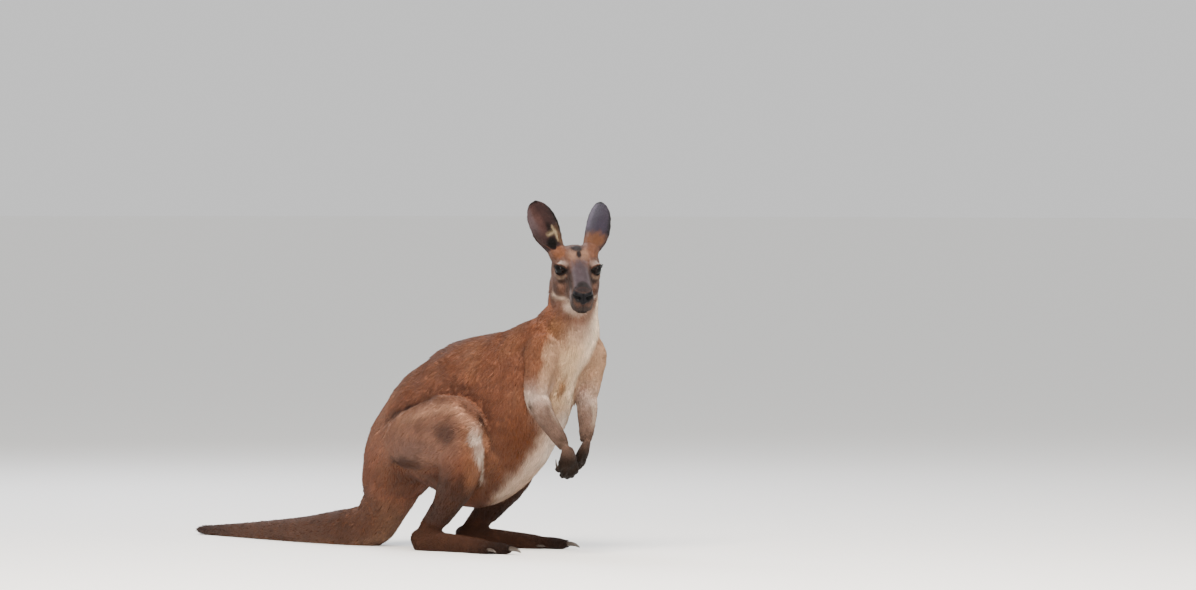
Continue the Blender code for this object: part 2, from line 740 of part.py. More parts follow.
def box_of(objects):
    """The lowest and highest corner of these objects' meshes."""
    corners = [v.co for obj in objects for v in obj.data.vertices]
    low, high = (Vector(end(c[i] for c in corners) for i in range(3)) for end in (min, max))
    return low, high


def finish(parts):
    """Sets the animal over the middle of the floor, each part on its own origin under one empty."""
    shades = {start: coat_material(shade) for shade, starts in COAT.items() for start in starts}
    low, high = box_of(parts.values())
    middle = Vector(((low.x + high.x) / 2, (low.y + high.y) / 2, low.z))
    animal = bpy.data.objects.new("wallaroo", None)
    bpy.context.scene.collection.objects.link(animal)
    for name, part in parts.items():
        part.name = part.data.name = name
        centre = sum(box_of([part]), Vector()) / 2
        part.data.transform(Matrix.Translation(-centre))
        part.location = centre - middle
        part.parent = animal
        part.data.materials.clear()
        part.data.materials.append(next(m for start, m in shades.items() if name.startswith(start)))
        part.data.shade_smooth()
        part.data.set_sharp_from_angle(angle=math.radians(SHARP_ANGLE))
    print("size in metres:", *(round(x, 4) for x in high - low), "moved by", *(round(-x, 4) for x in middle))


for old in list(bpy.data.objects):
    bpy.data.objects.remove(old)
finish(model())
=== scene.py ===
import math

import bmesh
import bpy
import numpy as np
from mathutils import Matrix, Vector
from mathutils.bvhtree import BVHTree


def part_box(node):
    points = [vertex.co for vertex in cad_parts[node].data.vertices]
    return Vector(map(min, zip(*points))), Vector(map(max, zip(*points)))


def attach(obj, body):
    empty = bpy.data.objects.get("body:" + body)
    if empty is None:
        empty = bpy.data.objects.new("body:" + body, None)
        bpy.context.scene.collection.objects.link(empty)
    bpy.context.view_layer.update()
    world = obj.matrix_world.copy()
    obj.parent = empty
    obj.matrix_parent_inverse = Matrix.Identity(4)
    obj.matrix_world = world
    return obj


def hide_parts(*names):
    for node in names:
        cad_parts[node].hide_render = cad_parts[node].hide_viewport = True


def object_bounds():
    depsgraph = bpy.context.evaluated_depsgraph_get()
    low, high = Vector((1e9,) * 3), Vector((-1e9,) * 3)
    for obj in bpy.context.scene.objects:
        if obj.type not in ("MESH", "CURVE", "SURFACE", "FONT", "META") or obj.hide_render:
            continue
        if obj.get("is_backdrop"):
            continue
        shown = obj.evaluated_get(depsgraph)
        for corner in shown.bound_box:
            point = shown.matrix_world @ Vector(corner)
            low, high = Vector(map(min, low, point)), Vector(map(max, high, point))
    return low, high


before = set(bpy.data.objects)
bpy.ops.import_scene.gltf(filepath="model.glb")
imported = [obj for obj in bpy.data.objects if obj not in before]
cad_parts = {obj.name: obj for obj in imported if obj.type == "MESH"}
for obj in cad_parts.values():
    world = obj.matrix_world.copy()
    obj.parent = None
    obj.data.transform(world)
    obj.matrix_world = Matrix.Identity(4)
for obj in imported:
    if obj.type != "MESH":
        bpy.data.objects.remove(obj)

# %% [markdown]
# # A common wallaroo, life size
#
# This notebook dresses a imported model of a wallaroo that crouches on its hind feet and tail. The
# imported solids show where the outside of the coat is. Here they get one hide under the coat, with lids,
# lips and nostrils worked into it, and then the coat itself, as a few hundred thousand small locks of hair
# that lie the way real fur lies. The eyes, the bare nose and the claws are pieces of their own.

MM = 0.001
CAD_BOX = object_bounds()
chance = np.random.default_rng(7)  # one seeded source for everything that varies by chance
print("the packed animal spans", [round(high - low, 3) for low, high in zip(*CAD_BOX)], "metres")

# %% [markdown]
# ## Where the animal's parts are
#
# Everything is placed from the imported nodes. The middle of the two eyeballs and the middle of the
# nose give the head a frame of its own: forward, left and up in millimetres from the point between the
# eyes. A feature of the face, such as the corner of the mouth, can then be given as three small numbers
# that read the same however the head is turned.


# %% The head's own frame
def middle(node):
    low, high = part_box(node)
    return (low + high) / 2


NOSE_DROP = math.radians(11.1)  # how far the nose's middle lies under the head's long axis

BETWEEN_EYES = (middle("eye_left") + middle("eye_right")) / 2
LEFTWARD = (middle("eye_left") - middle("eye_right")).normalized()
to_nose = middle("nose") - BETWEEN_EYES
to_nose = (to_nose - to_nose.dot(LEFTWARD) * LEFTWARD).normalized()
AHEAD = Matrix.Rotation(-NOSE_DROP, 3, LEFTWARD) @ to_nose
CROWNWARD = LEFTWARD.cross(-AHEAD)


def head_place(forward, left, up):
    """A point in the world from its place on the head, in millimetres."""
    return BETWEEN_EYES + (AHEAD * forward + LEFTWARD * left + CROWNWARD * up) * MM


def on_head(points):
    """(forward, left, up) in millimetres of an array of points."""
    away = (points - np.array(BETWEEN_EYES)) / MM
    return away @ np.array(AHEAD), away @ np.array(LEFTWARD), away @ np.array(CROWNWARD)


EYE_RADIUS = (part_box("eye_left")[1].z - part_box("eye_left")[0].z) / 2
print("the head looks along", [round(x, 3) for x in AHEAD])
print("the eyes are", round(2 * EYE_RADIUS / MM, 1), "mm across")
print("the nose's middle on the head:", [round(float(x[0]), 1) for x in on_head(np.array([middle("nose")]))])

# %% [markdown]
# ## The floor, the light and the camera
#
# A pale floor that curves up into a backdrop would hide the ground line; a plain flat floor shows that the
# feet and the tail rest on it. The light is a large soft lamp high on the animal's right, two weaker ones
# from the front and from behind, a small one that gives the eyes their bright point, and a pale sky, so that
# fur shows its relief without hard shadows. The camera looks with a long lens from the right front, almost
# level and from far away, as one sees a shy animal, which flattens the body.


# %% Small helpers for objects and materials
def linear(shade):
    """A hex colour as linear red, green and blue."""
    parts = [int(shade[i : i + 2], 16) / 255 for i in (1, 3, 5)]
    return tuple(p / 12.92 if p <= 0.04045 else ((p + 0.055) / 1.055) ** 2.4 for p in parts)


def add(tree, kind, links=(), **settings):
    """A shader node with its settings and its linked inputs."""
    made = tree.nodes.new(kind)
    for name, value in settings.items():
        if name in made.inputs:
            made.inputs[name].default_value = value
        else:
            setattr(made, name, value)
    for socket, source in dict(links).items():
        tree.links.new(source, made.inputs[socket])
    return made


def grain(size):
    """A pattern's scale from the size of its grain in millimetres."""
    return 1 / (size * MM)


def material(name, **sockets):
    """A new material, its node tree and its Principled shader, with the shader's uniform values set."""
    made = bpy.data.materials.new(name)
    made.use_nodes = True
    shader = made.node_tree.nodes["Principled BSDF"]
    for socket, value in sockets.items():
        shader.inputs[socket.replace("_", " ")].default_value = value
    return made, made.node_tree, shader


def placed(name, data):
    """A new object for some mesh, lamp or camera data, in the scene."""
    made = bpy.data.objects.new(name, data)
    bpy.context.scene.collection.objects.link(made)
    return made


def mesh_object(name, bm):
    mesh = bpy.data.meshes.new(name)
    bm.to_mesh(mesh)
    bm.free()
    return placed(name, mesh)


print("a mid grey, #808080, is", round(linear("#808080")[0], 3), "in linear light")

# %% Floor and sky
# Matt paint scatters light evenly: soft shadows, no gloss.
PAINT = dict(Base_Color=(*linear("#f9f8f5"), 1), Roughness=0.85)
painted_floor, _, _ = material("matt painted studio floor", **PAINT)

FLOOR_HALF = 150.0
bm = bmesh.new()
bmesh.ops.create_grid(bm, x_segments=1, y_segments=1, size=FLOOR_HALF)
floor = mesh_object("studio_floor", bm)
floor.data.materials.append(painted_floor)
floor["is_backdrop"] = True

world = bpy.data.worlds.new("pale studio")
world.use_nodes = True
sky = world.node_tree.nodes["Background"]
sky.inputs["Color"].default_value = (*linear("#f2f2f2"), 1)
sky.inputs["Strength"].default_value = 0.95
bpy.context.scene.world = world
print("the floor is", 2 * FLOOR_HALF, "metres wide, so its edge is out of sight")

# %% Lights and camera
VIEW_FROM = Vector((-0.819, -0.574, 0.0157)).normalized()  # from the animal's right front, just above level
VIEW_CENTRE = Vector((0.1456, -0.4695, 0.548))
VIEW_DISTANCE = 14.3
VIEW_WIDTH = 2.571  # metres across the frame at the animal
SENSOR = 36.0


def aimed(thing, centre, way, distance):
    """Put a lamp or camera at a distance from a place and point it there."""
    thing.location = centre + way * distance
    thing.rotation_euler = (-way).to_track_quat("-Z", "Y").to_euler()


for name, towards, distance, size, watts, shade in (  # metres and watts
    ("key", (-0.80, -0.35, 1.0), 4.0, 1.7, 330, "#fff4e8"),
    ("front", (-0.2, -1.0, 0.5), 4.5, 2.4, 170, "#fff8f0"),
    ("back", (0.5, 0.9, 0.9), 4.5, 2.4, 150, "#eef3ff"),
    ("catch light", (-0.95, -0.42, 0.30), 4.0, 0.6, 50, "#ffffff"),
):
    lamp = bpy.data.lights.new(name, "AREA")
    lamp.energy, lamp.size, lamp.color = watts, size, linear(shade)
    aimed(placed(name, lamp), middle("chest"), Vector(towards).normalized(), distance)

camera_data = bpy.data.cameras.new("long lens")
camera_data.sensor_width = SENSOR
camera_data.lens = SENSOR * VIEW_DISTANCE / VIEW_WIDTH
camera_data.clip_end = 200
camera = placed("long lens", camera_data)
aimed(camera, VIEW_CENTRE, VIEW_FROM, VIEW_DISTANCE)
bpy.context.scene.camera = camera
print("a lens of", round(camera_data.lens), "mm, camera", round(camera.location.z, 2), "m above the floor")

# %% [markdown]
# ## One hide over the whole body
#
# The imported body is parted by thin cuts, and its facets are a few centimetres wide. A real animal has one
# unbroken hide. A voxel remesh melts the parts into one even net, but only if they touch, so each is grown by
# half a millimetre first; that also closes the cuts. The net is fine enough for lids and fingers
# everywhere, which is far too many faces for a back and a belly. A Decimate with a vertex group then thins
# only the trunk, legs and tail, and leaves the head and the hands alone.

# %% Melt the parts into one net
FLESH = [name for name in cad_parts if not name.startswith(("eye_", "claw_"))]
SAME_PLACE = 0.01 * MM
GROWN = 0.5 * MM
NET = 1.75 * MM
LID = 1.5 * MM  # thickness of a closed lid over the eyeball
HIDE_TRIANGLES = 165000


def modified(obj, kind, **settings):
    """Apply one modifier to the object's mesh."""
    modifier = obj.modifiers.new(kind.title(), kind)
    for key, value in settings.items():
        setattr(modifier, key, value)
    graph = bpy.context.evaluated_depsgraph_get()
    mesh = bpy.data.meshes.new_from_object(obj.evaluated_get(graph))
    obj.modifiers.clear()
    old, obj.data = obj.data, mesh
    bpy.data.meshes.remove(old)


def triangle_count(mesh):
    return len(mesh.loops) - 2 * len(mesh.polygons)


bm = bmesh.new()
for name in FLESH:
    bm.from_mesh(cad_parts[name].data)
bmesh.ops.remove_doubles(bm, verts=bm.verts, dist=SAME_PLACE)
bm.normal_update()
for v in bm.verts:
    v.co += v.normal * GROWN
SIDES = ("left", "right")
for side in SIDES:
    ball = bmesh.ops.create_icosphere(bm, subdivisions=4, radius=EYE_RADIUS + LID)
    bmesh.ops.translate(bm, vec=middle("eye_" + side), verts=ball["verts"])
hide = mesh_object("hide", bm)
modified(hide, "REMESH", mode="VOXEL", voxel_size=NET)
print("the net has", triangle_count(hide.data), "triangles")


# %% Work with every vertex at once
def read(collection, key, width, kind):
    """One value of every member of a mesh's collection, as an array with a row for each."""
    found = np.empty(len(collection) * width, kind)
    collection.foreach_get(key, found)
    return found.reshape(-1, width)


def places(mesh):
    return read(mesh.vertices, "co", 3, np.float32).astype(float)


def set_places(mesh, values):
    mesh.vertices.foreach_set("co", values.astype(np.float32).ravel())
    mesh.update()


def directions(mesh):
    """Each vertex's outward direction."""
    return read(mesh.vertex_normals, "vector", 3, np.float32).astype(float)


def edge_ends(mesh):
    return read(mesh.edges, "vertices", 2, np.int32)


def relaxed(values, edges, rounds, share=0.5):
    """Values at the vertices, drawn towards their neighbours' mean by a share, or by a share for each."""
    values = np.asarray(values, float)
    flat = values.reshape(len(values), -1)
    a, b = edges.T
    count = np.maximum(np.bincount(a, minlength=len(flat)) + np.bincount(b, minlength=len(flat)), 1)
    share = np.broadcast_to(np.asarray(share, float).reshape(-1, 1), (len(flat), 1))
    for _ in range(rounds):
        total = np.empty_like(flat)
        for i in range(flat.shape[1]):
            total[:, i] = np.bincount(a, flat[b, i], len(flat)) + np.bincount(b, flat[a, i], len(flat))
        flat = flat + share * (total / count[:, None] - flat)
    return flat.reshape(values.shape)


def unit(vectors):
    return vectors / np.maximum(np.linalg.norm(vectors, axis=1), 1e-9)[:, None]


def ramp(values, low, high):
    """0 below low, 1 above high and a smooth rise between; low may be the larger."""
    t = np.clip((values - low) / (high - low), 0, 1)
    return t * t * (3 - 2 * t)


def band(distance, half):
    """1 where the distance is 0, falling like a bell; `half` is about half the band's width."""
    return np.exp(-((distance / half) ** 2))


def near(points, place, reach):
    """1 at the place, falling smoothly to 0 at the reach."""
    return ramp(np.linalg.norm(points - np.array(place), axis=1), reach, 0)


def paw_or_head(points):
    """1 on the head and the hands, and 0 elsewhere."""
    f, l, u = on_head(points)
    nape = f * 0.591 + u * 0.806  # along the cut that parts the head from the neck
    found = ramp(nape, -84, -78) * (np.abs(l) < 90) * (points[:, 2] > middle("neck").z)
    margin = 4 * MM
    for side in SIDES:
        low, high = (np.array(x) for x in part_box("hand_" + side))
        inside = np.all((points > low - margin) & (points < high + margin), axis=1)
        found = np.maximum(found, inside)
    return found


print("the net takes up", round(float(np.ptp(places(hide.data)[:, 1])), 3), "metres from nose to tail's end")

# %% [markdown]
# ## Lines through the body
#
# Hair lies along the body: back over the skull, down the neck and flanks, out along each limb and the tail.
# To comb it, the script needs a line through each part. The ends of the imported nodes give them: the mean
# of the vertices that lie furthest one way is a sound middle of that end, also on a slanting limb.


# %% Ends and lines
FORWARD, UPWARD = Vector((0, -1, 0)), Vector((0, 0, 1))


def end_of(node, way, share=0.1):
    """The middle of the part of a node that lies furthest along a direction."""
    points = places(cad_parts[node].data)
    along = points @ np.array(way)
    limit = along.max() - share * (along.max() - along.min())
    return Vector(points[along >= limit].mean(axis=0))


LINES = {  # node: the line through it, in the direction that its hair lies
    "head": (head_place(95, 0, -22), head_place(-85, 0, 10)),
    "nose": (head_place(100, 0, -22), head_place(60, 0, -10)),
    "neck": (head_place(-50, 0, -30), middle("chest")),
    "chest": (middle("neck"), middle("belly")),
    "belly": (middle("chest"), middle("rump")),
    "rump": (middle("belly"), middle("tail_base")),
    "tail_base": (end_of("tail_base", UPWARD), end_of("tail_base", -FORWARD)),
    "tail_middle": (end_of("tail_middle", FORWARD), end_of("tail_middle", -FORWARD)),
    "tail_tip": (end_of("tail_tip", FORWARD), end_of("tail_tip", -FORWARD)),
}
for side in SIDES:
    elbow = (end_of("upper_arm_" + side, -UPWARD) + end_of("forearm_" + side, UPWARD)) / 2
    wrist = (end_of("forearm_" + side, -UPWARD) + end_of("hand_" + side, UPWARD)) / 2
    ankle = end_of("shank_" + side, -UPWARD)
    ear_tip = end_of("ear_" + side, middle("ear_" + side) - middle("head"), 0.04)
    ear_base = end_of("ear_" + side, middle("head") - middle("ear_" + side), 0.12)
    LINES.update(
        {
            "upper_arm_" + side: (end_of("upper_arm_" + side, UPWARD), elbow),
            "forearm_" + side: (elbow, wrist),
            "hand_" + side: (wrist, end_of("hand_" + side, -UPWARD)),
            "thigh_" + side: (end_of("thigh_" + side, UPWARD), end_of("shank_" + side, UPWARD)),
            "shank_" + side: (end_of("shank_" + side, UPWARD), ankle),
            "foot_" + side: (end_of("foot_" + side, -FORWARD), end_of("foot_" + side, FORWARD)),
            "ear_" + side: (ear_base, ear_tip),
        }
    )


def along_line(points, node):
    """How far each point lies along a node's line: 0 at its start, 1 at its end."""
    start, end = (np.array(p) for p in LINES[node])
    way = end - start
    return (points - start) @ way / (way @ way)


print(len(LINES), "lines; the right ear is", round((ear_tip - ear_base).length / MM), "mm long")

# %% Smooth the facets and thin the trunk
co, edges = places(hide.data), edge_ends(hide.data)
fine = paw_or_head(co)
_, _, up_head = on_head(co)
skull = fine * ramp(up_head, 48, 34) * (np.linalg.norm(co - np.array(middle("head")), axis=1) < 0.15)
wrists = np.maximum(*(near(co, LINES["hand_" + side][0], 42 * MM) for side in SIDES))
# A few rounds all over, many on the body, few on the head and hands, and more on the skull and the wrists.
for rounds, where in ((4, 1), (40, 1 - fine), (6, fine), (24, skull), (70, wrists)):
    co = relaxed(co, edges, rounds, share=0.5 * where)
set_places(hide.data, co)
loose = hide.vertex_groups.new(name="loose")
loose.add([int(i) for i in np.flatnonzero(fine < 0.5)], 1.0, "REPLACE")
kept_share = HIDE_TRIANGLES / triangle_count(hide.data)
modified(hide, "DECIMATE", ratio=kept_share, vertex_group="loose", use_collapse_triangulate=True)
print("the hide has", triangle_count(hide.data), "triangles")

# %% [markdown]
# ## Back to size
#
# Smoothing rounds the facets off, but it also draws every bulge inwards, most of all on the muzzle and the
# ears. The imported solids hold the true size. So each vertex measures how far it has sunk below them, those
# distances are smoothed, which leaves the facets out, and the hide is pushed out by them again. A second
# pass takes in what the first leaves.


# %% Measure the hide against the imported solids
def solid_tree(names):
    """The surfaces of some nodes, for nearest-place questions, and the number of each face's node."""
    corners, faces, owners = [], [], []
    for number, name in enumerate(names):
        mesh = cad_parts[name].data
        start = len(corners)
        corners.extend(v.co for v in mesh.vertices)
        faces.extend([start + i for i in p.vertices] for p in mesh.polygons)
        owners.extend([number] * len(mesh.polygons))
    return BVHTree.FromPolygons(corners, faces), owners


NAMES = sorted(FLESH)
MOST_SUNK = 6 * MM  # more than this is a place that has found the wrong surface
whole_tree, _ = solid_tree(NAMES + ["eye_left", "eye_right"])
co, edges = places(hide.data), edge_ends(hide.data)
for _ in range(2):
    outward = directions(hide.data)
    nearest = np.array([whole_tree.find_nearest(Vector(p))[0] for p in co])
    sunk = np.clip(((nearest - co) * outward).sum(axis=1), -MOST_SUNK, MOST_SUNK)
    push = relaxed(relaxed(sunk, edges, 12), edges, 30, share=0.5 * (1 - paw_or_head(co)))
    co = co + outward * push[:, None]
    set_places(hide.data, co)
nape = near(co, head_place(-84, 0, 0), 70 * MM)  # the neck runs into the head, and the arms into the hands
co = relaxed(co, edges, 50, share=0.5 * np.minimum(1, 1.6 * nape))
for side in SIDES:
    co = relaxed(co, edges, 50, share=0.5 * near(co, LINES["hand_" + side][0], 34 * MM))
set_places(hide.data, co)
print("the hide stood", round(float(np.abs(sunk).mean() / MM), 2), "mm from the solids on average")

# %% [markdown]
# ## Which part of the body a place belongs to
#
# Coat length, colour and lie change from part to part, but without a line between them. Each vertex of
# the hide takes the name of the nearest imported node. A value that is given per node is then spread over the
# vertices and relaxed: drawn towards its neighbours again and again, which blends it across the borders.


# %% Name every vertex and sink the hide under its coat
def nearest_nodes(points):
    """For each point, the number in NAMES of the nearest node."""
    tree_of_faces, owners = solid_tree(NAMES)
    return np.array([owners[tree_of_faces.find_nearest(Vector(p))[2]] for p in points])


def per_node(values):
    """A value for each vertex from values given by the start of its node's name; 0 where none is."""
    table = [next((v for start, v in values.items() if name.startswith(start)), 0.0) for name in NAMES]
    return np.array(table)[owner]


def coat_value(column, rounds):
    """One column of COAT over the hide, blended across the borders between the parts."""
    return relaxed(per_node({node: row[column] for node, row in COAT.items()}), edges, rounds)


COAT = {  # node: the coat's depth, a tuft's length and its width in millimetres, and the layers of tufts
    "head": (1.6, 7.0, 0.8, 3.8),
    "nose": (0.4, 3.0, 0.6, 2.0),
    "ear": (0.5, 4.5, 0.62, 2.0),
    "neck": (6.0, 18.0, 1.6, 5.0),
    "chest": (6.5, 22.0, 1.8, 5.0),
    "belly": (7.0, 25.0, 2.0, 5.5),
    "rump": (7.0, 25.0, 2.0, 5.5),
    "thigh": (6.0, 22.0, 1.9, 5.2),
    "shank": (4.5, 16.0, 1.6, 4.2),
    "foot": (1.6, 7.5, 1.2, 2.6),
    "upper_arm": (5.0, 16.0, 1.5, 4.6),
    "forearm": (3.2, 11.0, 1.2, 4.4),
    "hand": (1.3, 4.5, 0.8, 2.4),
    "tail_base": (6.0, 21.0, 1.9, 4.6),
    "tail_middle": (5.0, 18.0, 1.7, 4.2),
    "tail_tip": (4.0, 16.0, 1.5, 4.2),
}
SOLE = 3.0 * MM  # below this the body is pressed on the floor

owner = nearest_nodes(co)
depth = coat_value(0, 0)
depth[co[:, 2] < SOLE] = 0.0
depth = relaxed(depth, edges, 14)
depth[co[:, 2] < SOLE / 2] = 0.0
co = co - directions(hide.data) * (depth * MM)[:, None]
tail_start, tail_end = (np.array(p) for p in LINES["tail_tip"])
tail_way = (tail_end - tail_start) / np.linalg.norm(tail_end - tail_start)
off_axis = (co - tail_start) - ((co - tail_start) @ tail_way)[:, None] * tail_way
at_end = ramp(along_line(co, "tail_tip"), 0.9, 1.0) * (owner == NAMES.index("tail_tip"))
co = co - off_axis * (0.7 * at_end**1.5)[:, None]  # the end tapers, and the last hairs close over it
co[:, 2] = np.maximum(co[:, 2], 0.0)
set_places(hide.data, co)
print("the coat is", round(depth.min(), 1), "to", round(depth.max(), 1), "mm deep over the hide")

# %% [markdown]
# ## The face
#
# A wallaroo's face is short-haired, so its forms are the hide's own: lids that wrap the eyeball, a crease
# above them, the groove that runs from the eye's inner corner, a mouth line that ends under the cheek, and a
# cleft from the nose to the lip. Sculpting by hand can't be repeated, so each form is a smooth function of a
# place on the head. First the net is split finer round the eyes and over the muzzle, where the forms are
# only one or two millimetres wide.

# %% A finer net where the forms are small
EYE_REACH = 27 * MM
MUZZLE_FROM, MUZZLE_TO, MUZZLE_HALF = 60 * MM, 130 * MM, 40 * MM  # ahead of the eyes, and to each side

EYES = {}  # side: the eyeball's middle, and the ways out of the head, to the inner corner and to the brow
for side in SIDES:
    sign = 1 if side == "left" else -1
    out = (AHEAD * 0.76 + LEFTWARD * 0.64 * sign + CROWNWARD * 0.10).normalized()
    slit = AHEAD * 0.64 - LEFTWARD * 0.76 * sign + CROWNWARD * 0.10
    slit = (slit - slit.dot(out) * out).normalized()
    lift = out.cross(slit)
    if lift.dot(CROWNWARD) < 0:
        lift = -lift
    EYES[side] = (middle("eye_" + side), out, slit, lift)

bm = bmesh.new()
bm.from_mesh(hide.data)


def wants_finer(face):
    place = face.calc_center_median()
    if any((place - eye[0]).length < EYE_REACH for eye in EYES.values()):
        return True
    away = place - BETWEEN_EYES
    on_muzzle = away.dot(AHEAD) > MUZZLE_FROM and abs(away.dot(LEFTWARD)) < MUZZLE_HALF
    return on_muzzle and away.length < MUZZLE_TO


finer = {face for face in bm.faces if wants_finer(face)}
cut = [edge for edge in bm.edges if not finer.isdisjoint(edge.link_faces)]
bmesh.ops.subdivide_edges(bm, edges=cut, cuts=1, use_grid_fill=True, smooth=0.0)
bmesh.ops.triangulate(bm, faces=[face for face in bm.faces if len(face.verts) > 3])
bm.to_mesh(hide.data)
bm.free()
print("the hide now has", triangle_count(hide.data), "triangles")

# %% Lids
LID_WIDE = 68.0  # degrees from the opening's middle to its corners
LID_OVER, LID_UNDER = 40.0, 42.0  # degrees from the middle to the edges of the upper and the lower lid
BEHIND_EYE = 2.5 * MM  # how far the hide goes under the eyeball's surface inside the opening
LID_EDGE = 1.5 * MM  # how far the lids stand off the eyeball
LEAST_LID = 0.7 * MM  # how far any skin round the opening stands off it at least
CREASE = 0.8 * MM  # depth of the fold over the upper lid
LIDS_REACH = 1.9 * EYE_RADIUS  # as far from the eyeball's middle as its shape shows in the skin
CURVE = 1.85  # 2 would make the opening an ellipse, and less draws its corners out


def eye_opening(points, side):
    """Where points lie on the eye: 0 in the opening's middle, 1 on the lids' edges, more beyond them."""
    centre, out, slit, lift = (np.array(v) for v in EYES[side])
    away = points - centre
    ahead, across, rise = away @ out, away @ slit, away @ lift
    turn = np.degrees(np.arctan2(across, ahead))
    tall = np.degrees(np.arctan2(rise, np.hypot(ahead, across)))
    reach = np.where(tall > 0, LID_OVER, LID_UNDER)
    share = (np.abs(turn) / LID_WIDE) ** CURVE + (np.abs(tall) / reach) ** CURVE
    return share ** (1 / CURVE), np.linalg.norm(away, axis=1), tall, turn


co = places(hide.data)
for side in SIDES:
    centre = np.array(EYES[side][0])
    opening, distance, tall, _ = eye_opening(co, side)
    close = distance < LIDS_REACH
    way = (co - centre) / np.maximum(distance, 1e-9)[:, None]
    on_ball = ramp(opening, 1.75, 1.12) * ramp(distance, LIDS_REACH, 1.3 * EYE_RADIUS)
    lid = EYE_RADIUS + LID_EDGE - CREASE * band(opening - 1.42, 0.08) * (tall > 0)
    wanted = np.maximum(distance + on_ball * (lid - distance), EYE_RADIUS + LEAST_LID)
    wanted = np.where(opening < 0.97, EYE_RADIUS - BEHIND_EYE, wanted)
    co = np.where(close[:, None], centre + way * wanted[:, None], co)
set_places(hide.data, co)
print("each eye's lids take up some", int(close.sum()), "vertices")

# %% Mouth, nostrils and the small folds
# Everything on the head is in its own millimetres: forward, left and up from the point between the eyes.
MOUTH = [(101, -51), (96, -53), (88, -55.5), (76, -56), (60, -53), (42, -47)]  # (forward, up) along the lips
NOSE_FROM = 80.0  # millimetres ahead of the eyes
NOSTRIL_DEEP = 8.0 * MM


def from_path(forward, up, path):
    """Distance in millimetres from a line of (forward, up) points, and how far over it a place is."""
    best = np.full(len(forward), 1e9)
    over = np.zeros(len(forward))
    for (f0, u0), (f1, u1) in zip(path, path[1:]):
        df, du = f1 - f0, u1 - u0
        t = np.clip(((forward - f0) * df + (up - u0) * du) / (df * df + du * du), 0, 1)
        away = np.hypot(forward - f0 - t * df, up - u0 - t * du)
        nearer = away < best
        best = np.where(nearer, away, best)
        over = np.where(nearer, up - u0 - t * du, over)
    return best, over


def nostril(points):
    """1 inside a nostril, 0 outside: round near the septum, and drawn out and up to the side as a comma."""
    f, l, u = on_head(points)
    l = np.abs(l)
    curve = -21.0 + 0.028 * (l - 11) ** 2
    tall = np.interp(l, [4, 9, 14, 23], [4.5, 6.8, 6.0, 2.6])
    away = np.hypot((l - 13.6) / 9.8, (u - curve) / tall)
    return ramp(away, 1.03, 0.72) * (f > NOSE_FROM)


def pad_inside(points):
    """Millimetres inside the bare nose's outline, negative outside it."""
    f, l, u = on_head(points)
    top = 9.0 + 0.018 * np.maximum(10 - np.abs(l), 0) ** 2
    half = np.interp(-u, [8, 11, 14, 20, 25, 30, 34, 38], [15, 19.5, 21.8, 21.5, 17, 9, 4, 1])
    inside = np.minimum(half - np.abs(l), np.minimum(-u - top, u + 36))
    return np.where(f > NOSE_FROM, inside, -20.0)


def face_forms(points):
    """How far the hide is pushed out, in millimetres, by the forms of the face."""
    f, l, u = on_head(points)
    a = np.abs(l)
    line, over = from_path(f, u, MOUTH)
    lips = np.where((f > 35) & (u < -30), 1.0, 0.0)
    push = -3.2 * band(line, 1.7) * lips  # the mouth, with a swelling over it and a dip under it
    push += band(over - 5, 4) * (line < 14) * lips
    push -= band(over + 4, 3) * (line < 12) * lips
    push -= 1.7 * band(l, 1.3) * ramp(f, 88, 93) * ramp(u, -48, -44) * ramp(u, -8, -14)  # the cleft
    tear, _ = from_path(f, u, [(13, -6), (26, -12), (42, -15)])
    push -= 1.1 * band(tear, 3.0) * (a > 17) * ramp(f, 8, 14)  # the groove from the eye's inner corner
    rim_line = -12.0 + 0.02 * (a - 12) ** 2
    push += 1.5 * band(u - rim_line, 2.6) * band(a - 12, 9) * (f > NOSE_FROM)  # the nostril's upper rim
    return push * ((a < 60) & (f < 115) & (f > -60) & (np.abs(u) < 90))


co = places(hide.data)
co = co + directions(hide.data) * (face_forms(co) * MM)[:, None]
into_head = np.array(-AHEAD * 0.9 + CROWNWARD * 0.4)
co = co + into_head * (nostril(co) * NOSTRIL_DEEP)[:, None]
set_places(hide.data, co)
edges = edge_ends(hide.data)
print("the nostrils take in", int((nostril(co) > 0.5).sum()), "vertices")

# %% [markdown]
# ## Colour of the coat
#
# A wallaroo is red-brown above and cream below, with grey arms, dark paws, a grey bridge to its nose and
# a dark rim on the ears. An artist would paint this; here each mark is a smooth mask made from where a place
# lies and which way it faces, and the masks are laid over each other like thin coats of paint. The hide and
# the hair on it take the same colour, so a gap between two tufts never shows a foreign one.
# Some marks are painted shade: in the folds, under the rump, low on the legs, behind the arm, in the ears'
# hollows and in the nostrils.

# %% Masks
co, normals = places(hide.data), directions(hide.data)
owner = nearest_nodes(co)
calm = unit(relaxed(normals, edges, 10))
LEFT, FRONT, HIGH = co[:, 0] / MM, -co[:, 1] / MM, co[:, 2] / MM
facing_front, facing_up, facing_side = -calm[:, 1], calm[:, 2], np.abs(calm[:, 0])
facing_out = calm[:, 0] * np.sign(LEFT)


def weight(*starts, rounds=10):
    """1 on the nodes whose names start so, 0 elsewhere, with a soft border."""
    return relaxed(per_node({start: 1.0 for start in starts}), edges, rounds)


def waves(points, size, seed):
    """Smooth random blotches about `size` millimetres wide, from -1 to 1, as a sum of slanting waves."""
    dice = np.random.default_rng(seed)
    total = np.zeros(len(points))
    for _ in range(14):  # enough waves to hide their directions
        way = dice.normal(size=3)
        way *= 1 / np.linalg.norm(way)
        length = size * MM * dice.uniform(1.2, 2.6)
        total += np.sin(points @ way * (2 * np.pi / length) + dice.uniform(0, 6.3))
    return np.clip(total / 5.0, -1, 1)


HAIR_SHARE, HAIR_POWER = 0.885, 1.10  # a hair is a little darker and richer than the coat looks in daylight


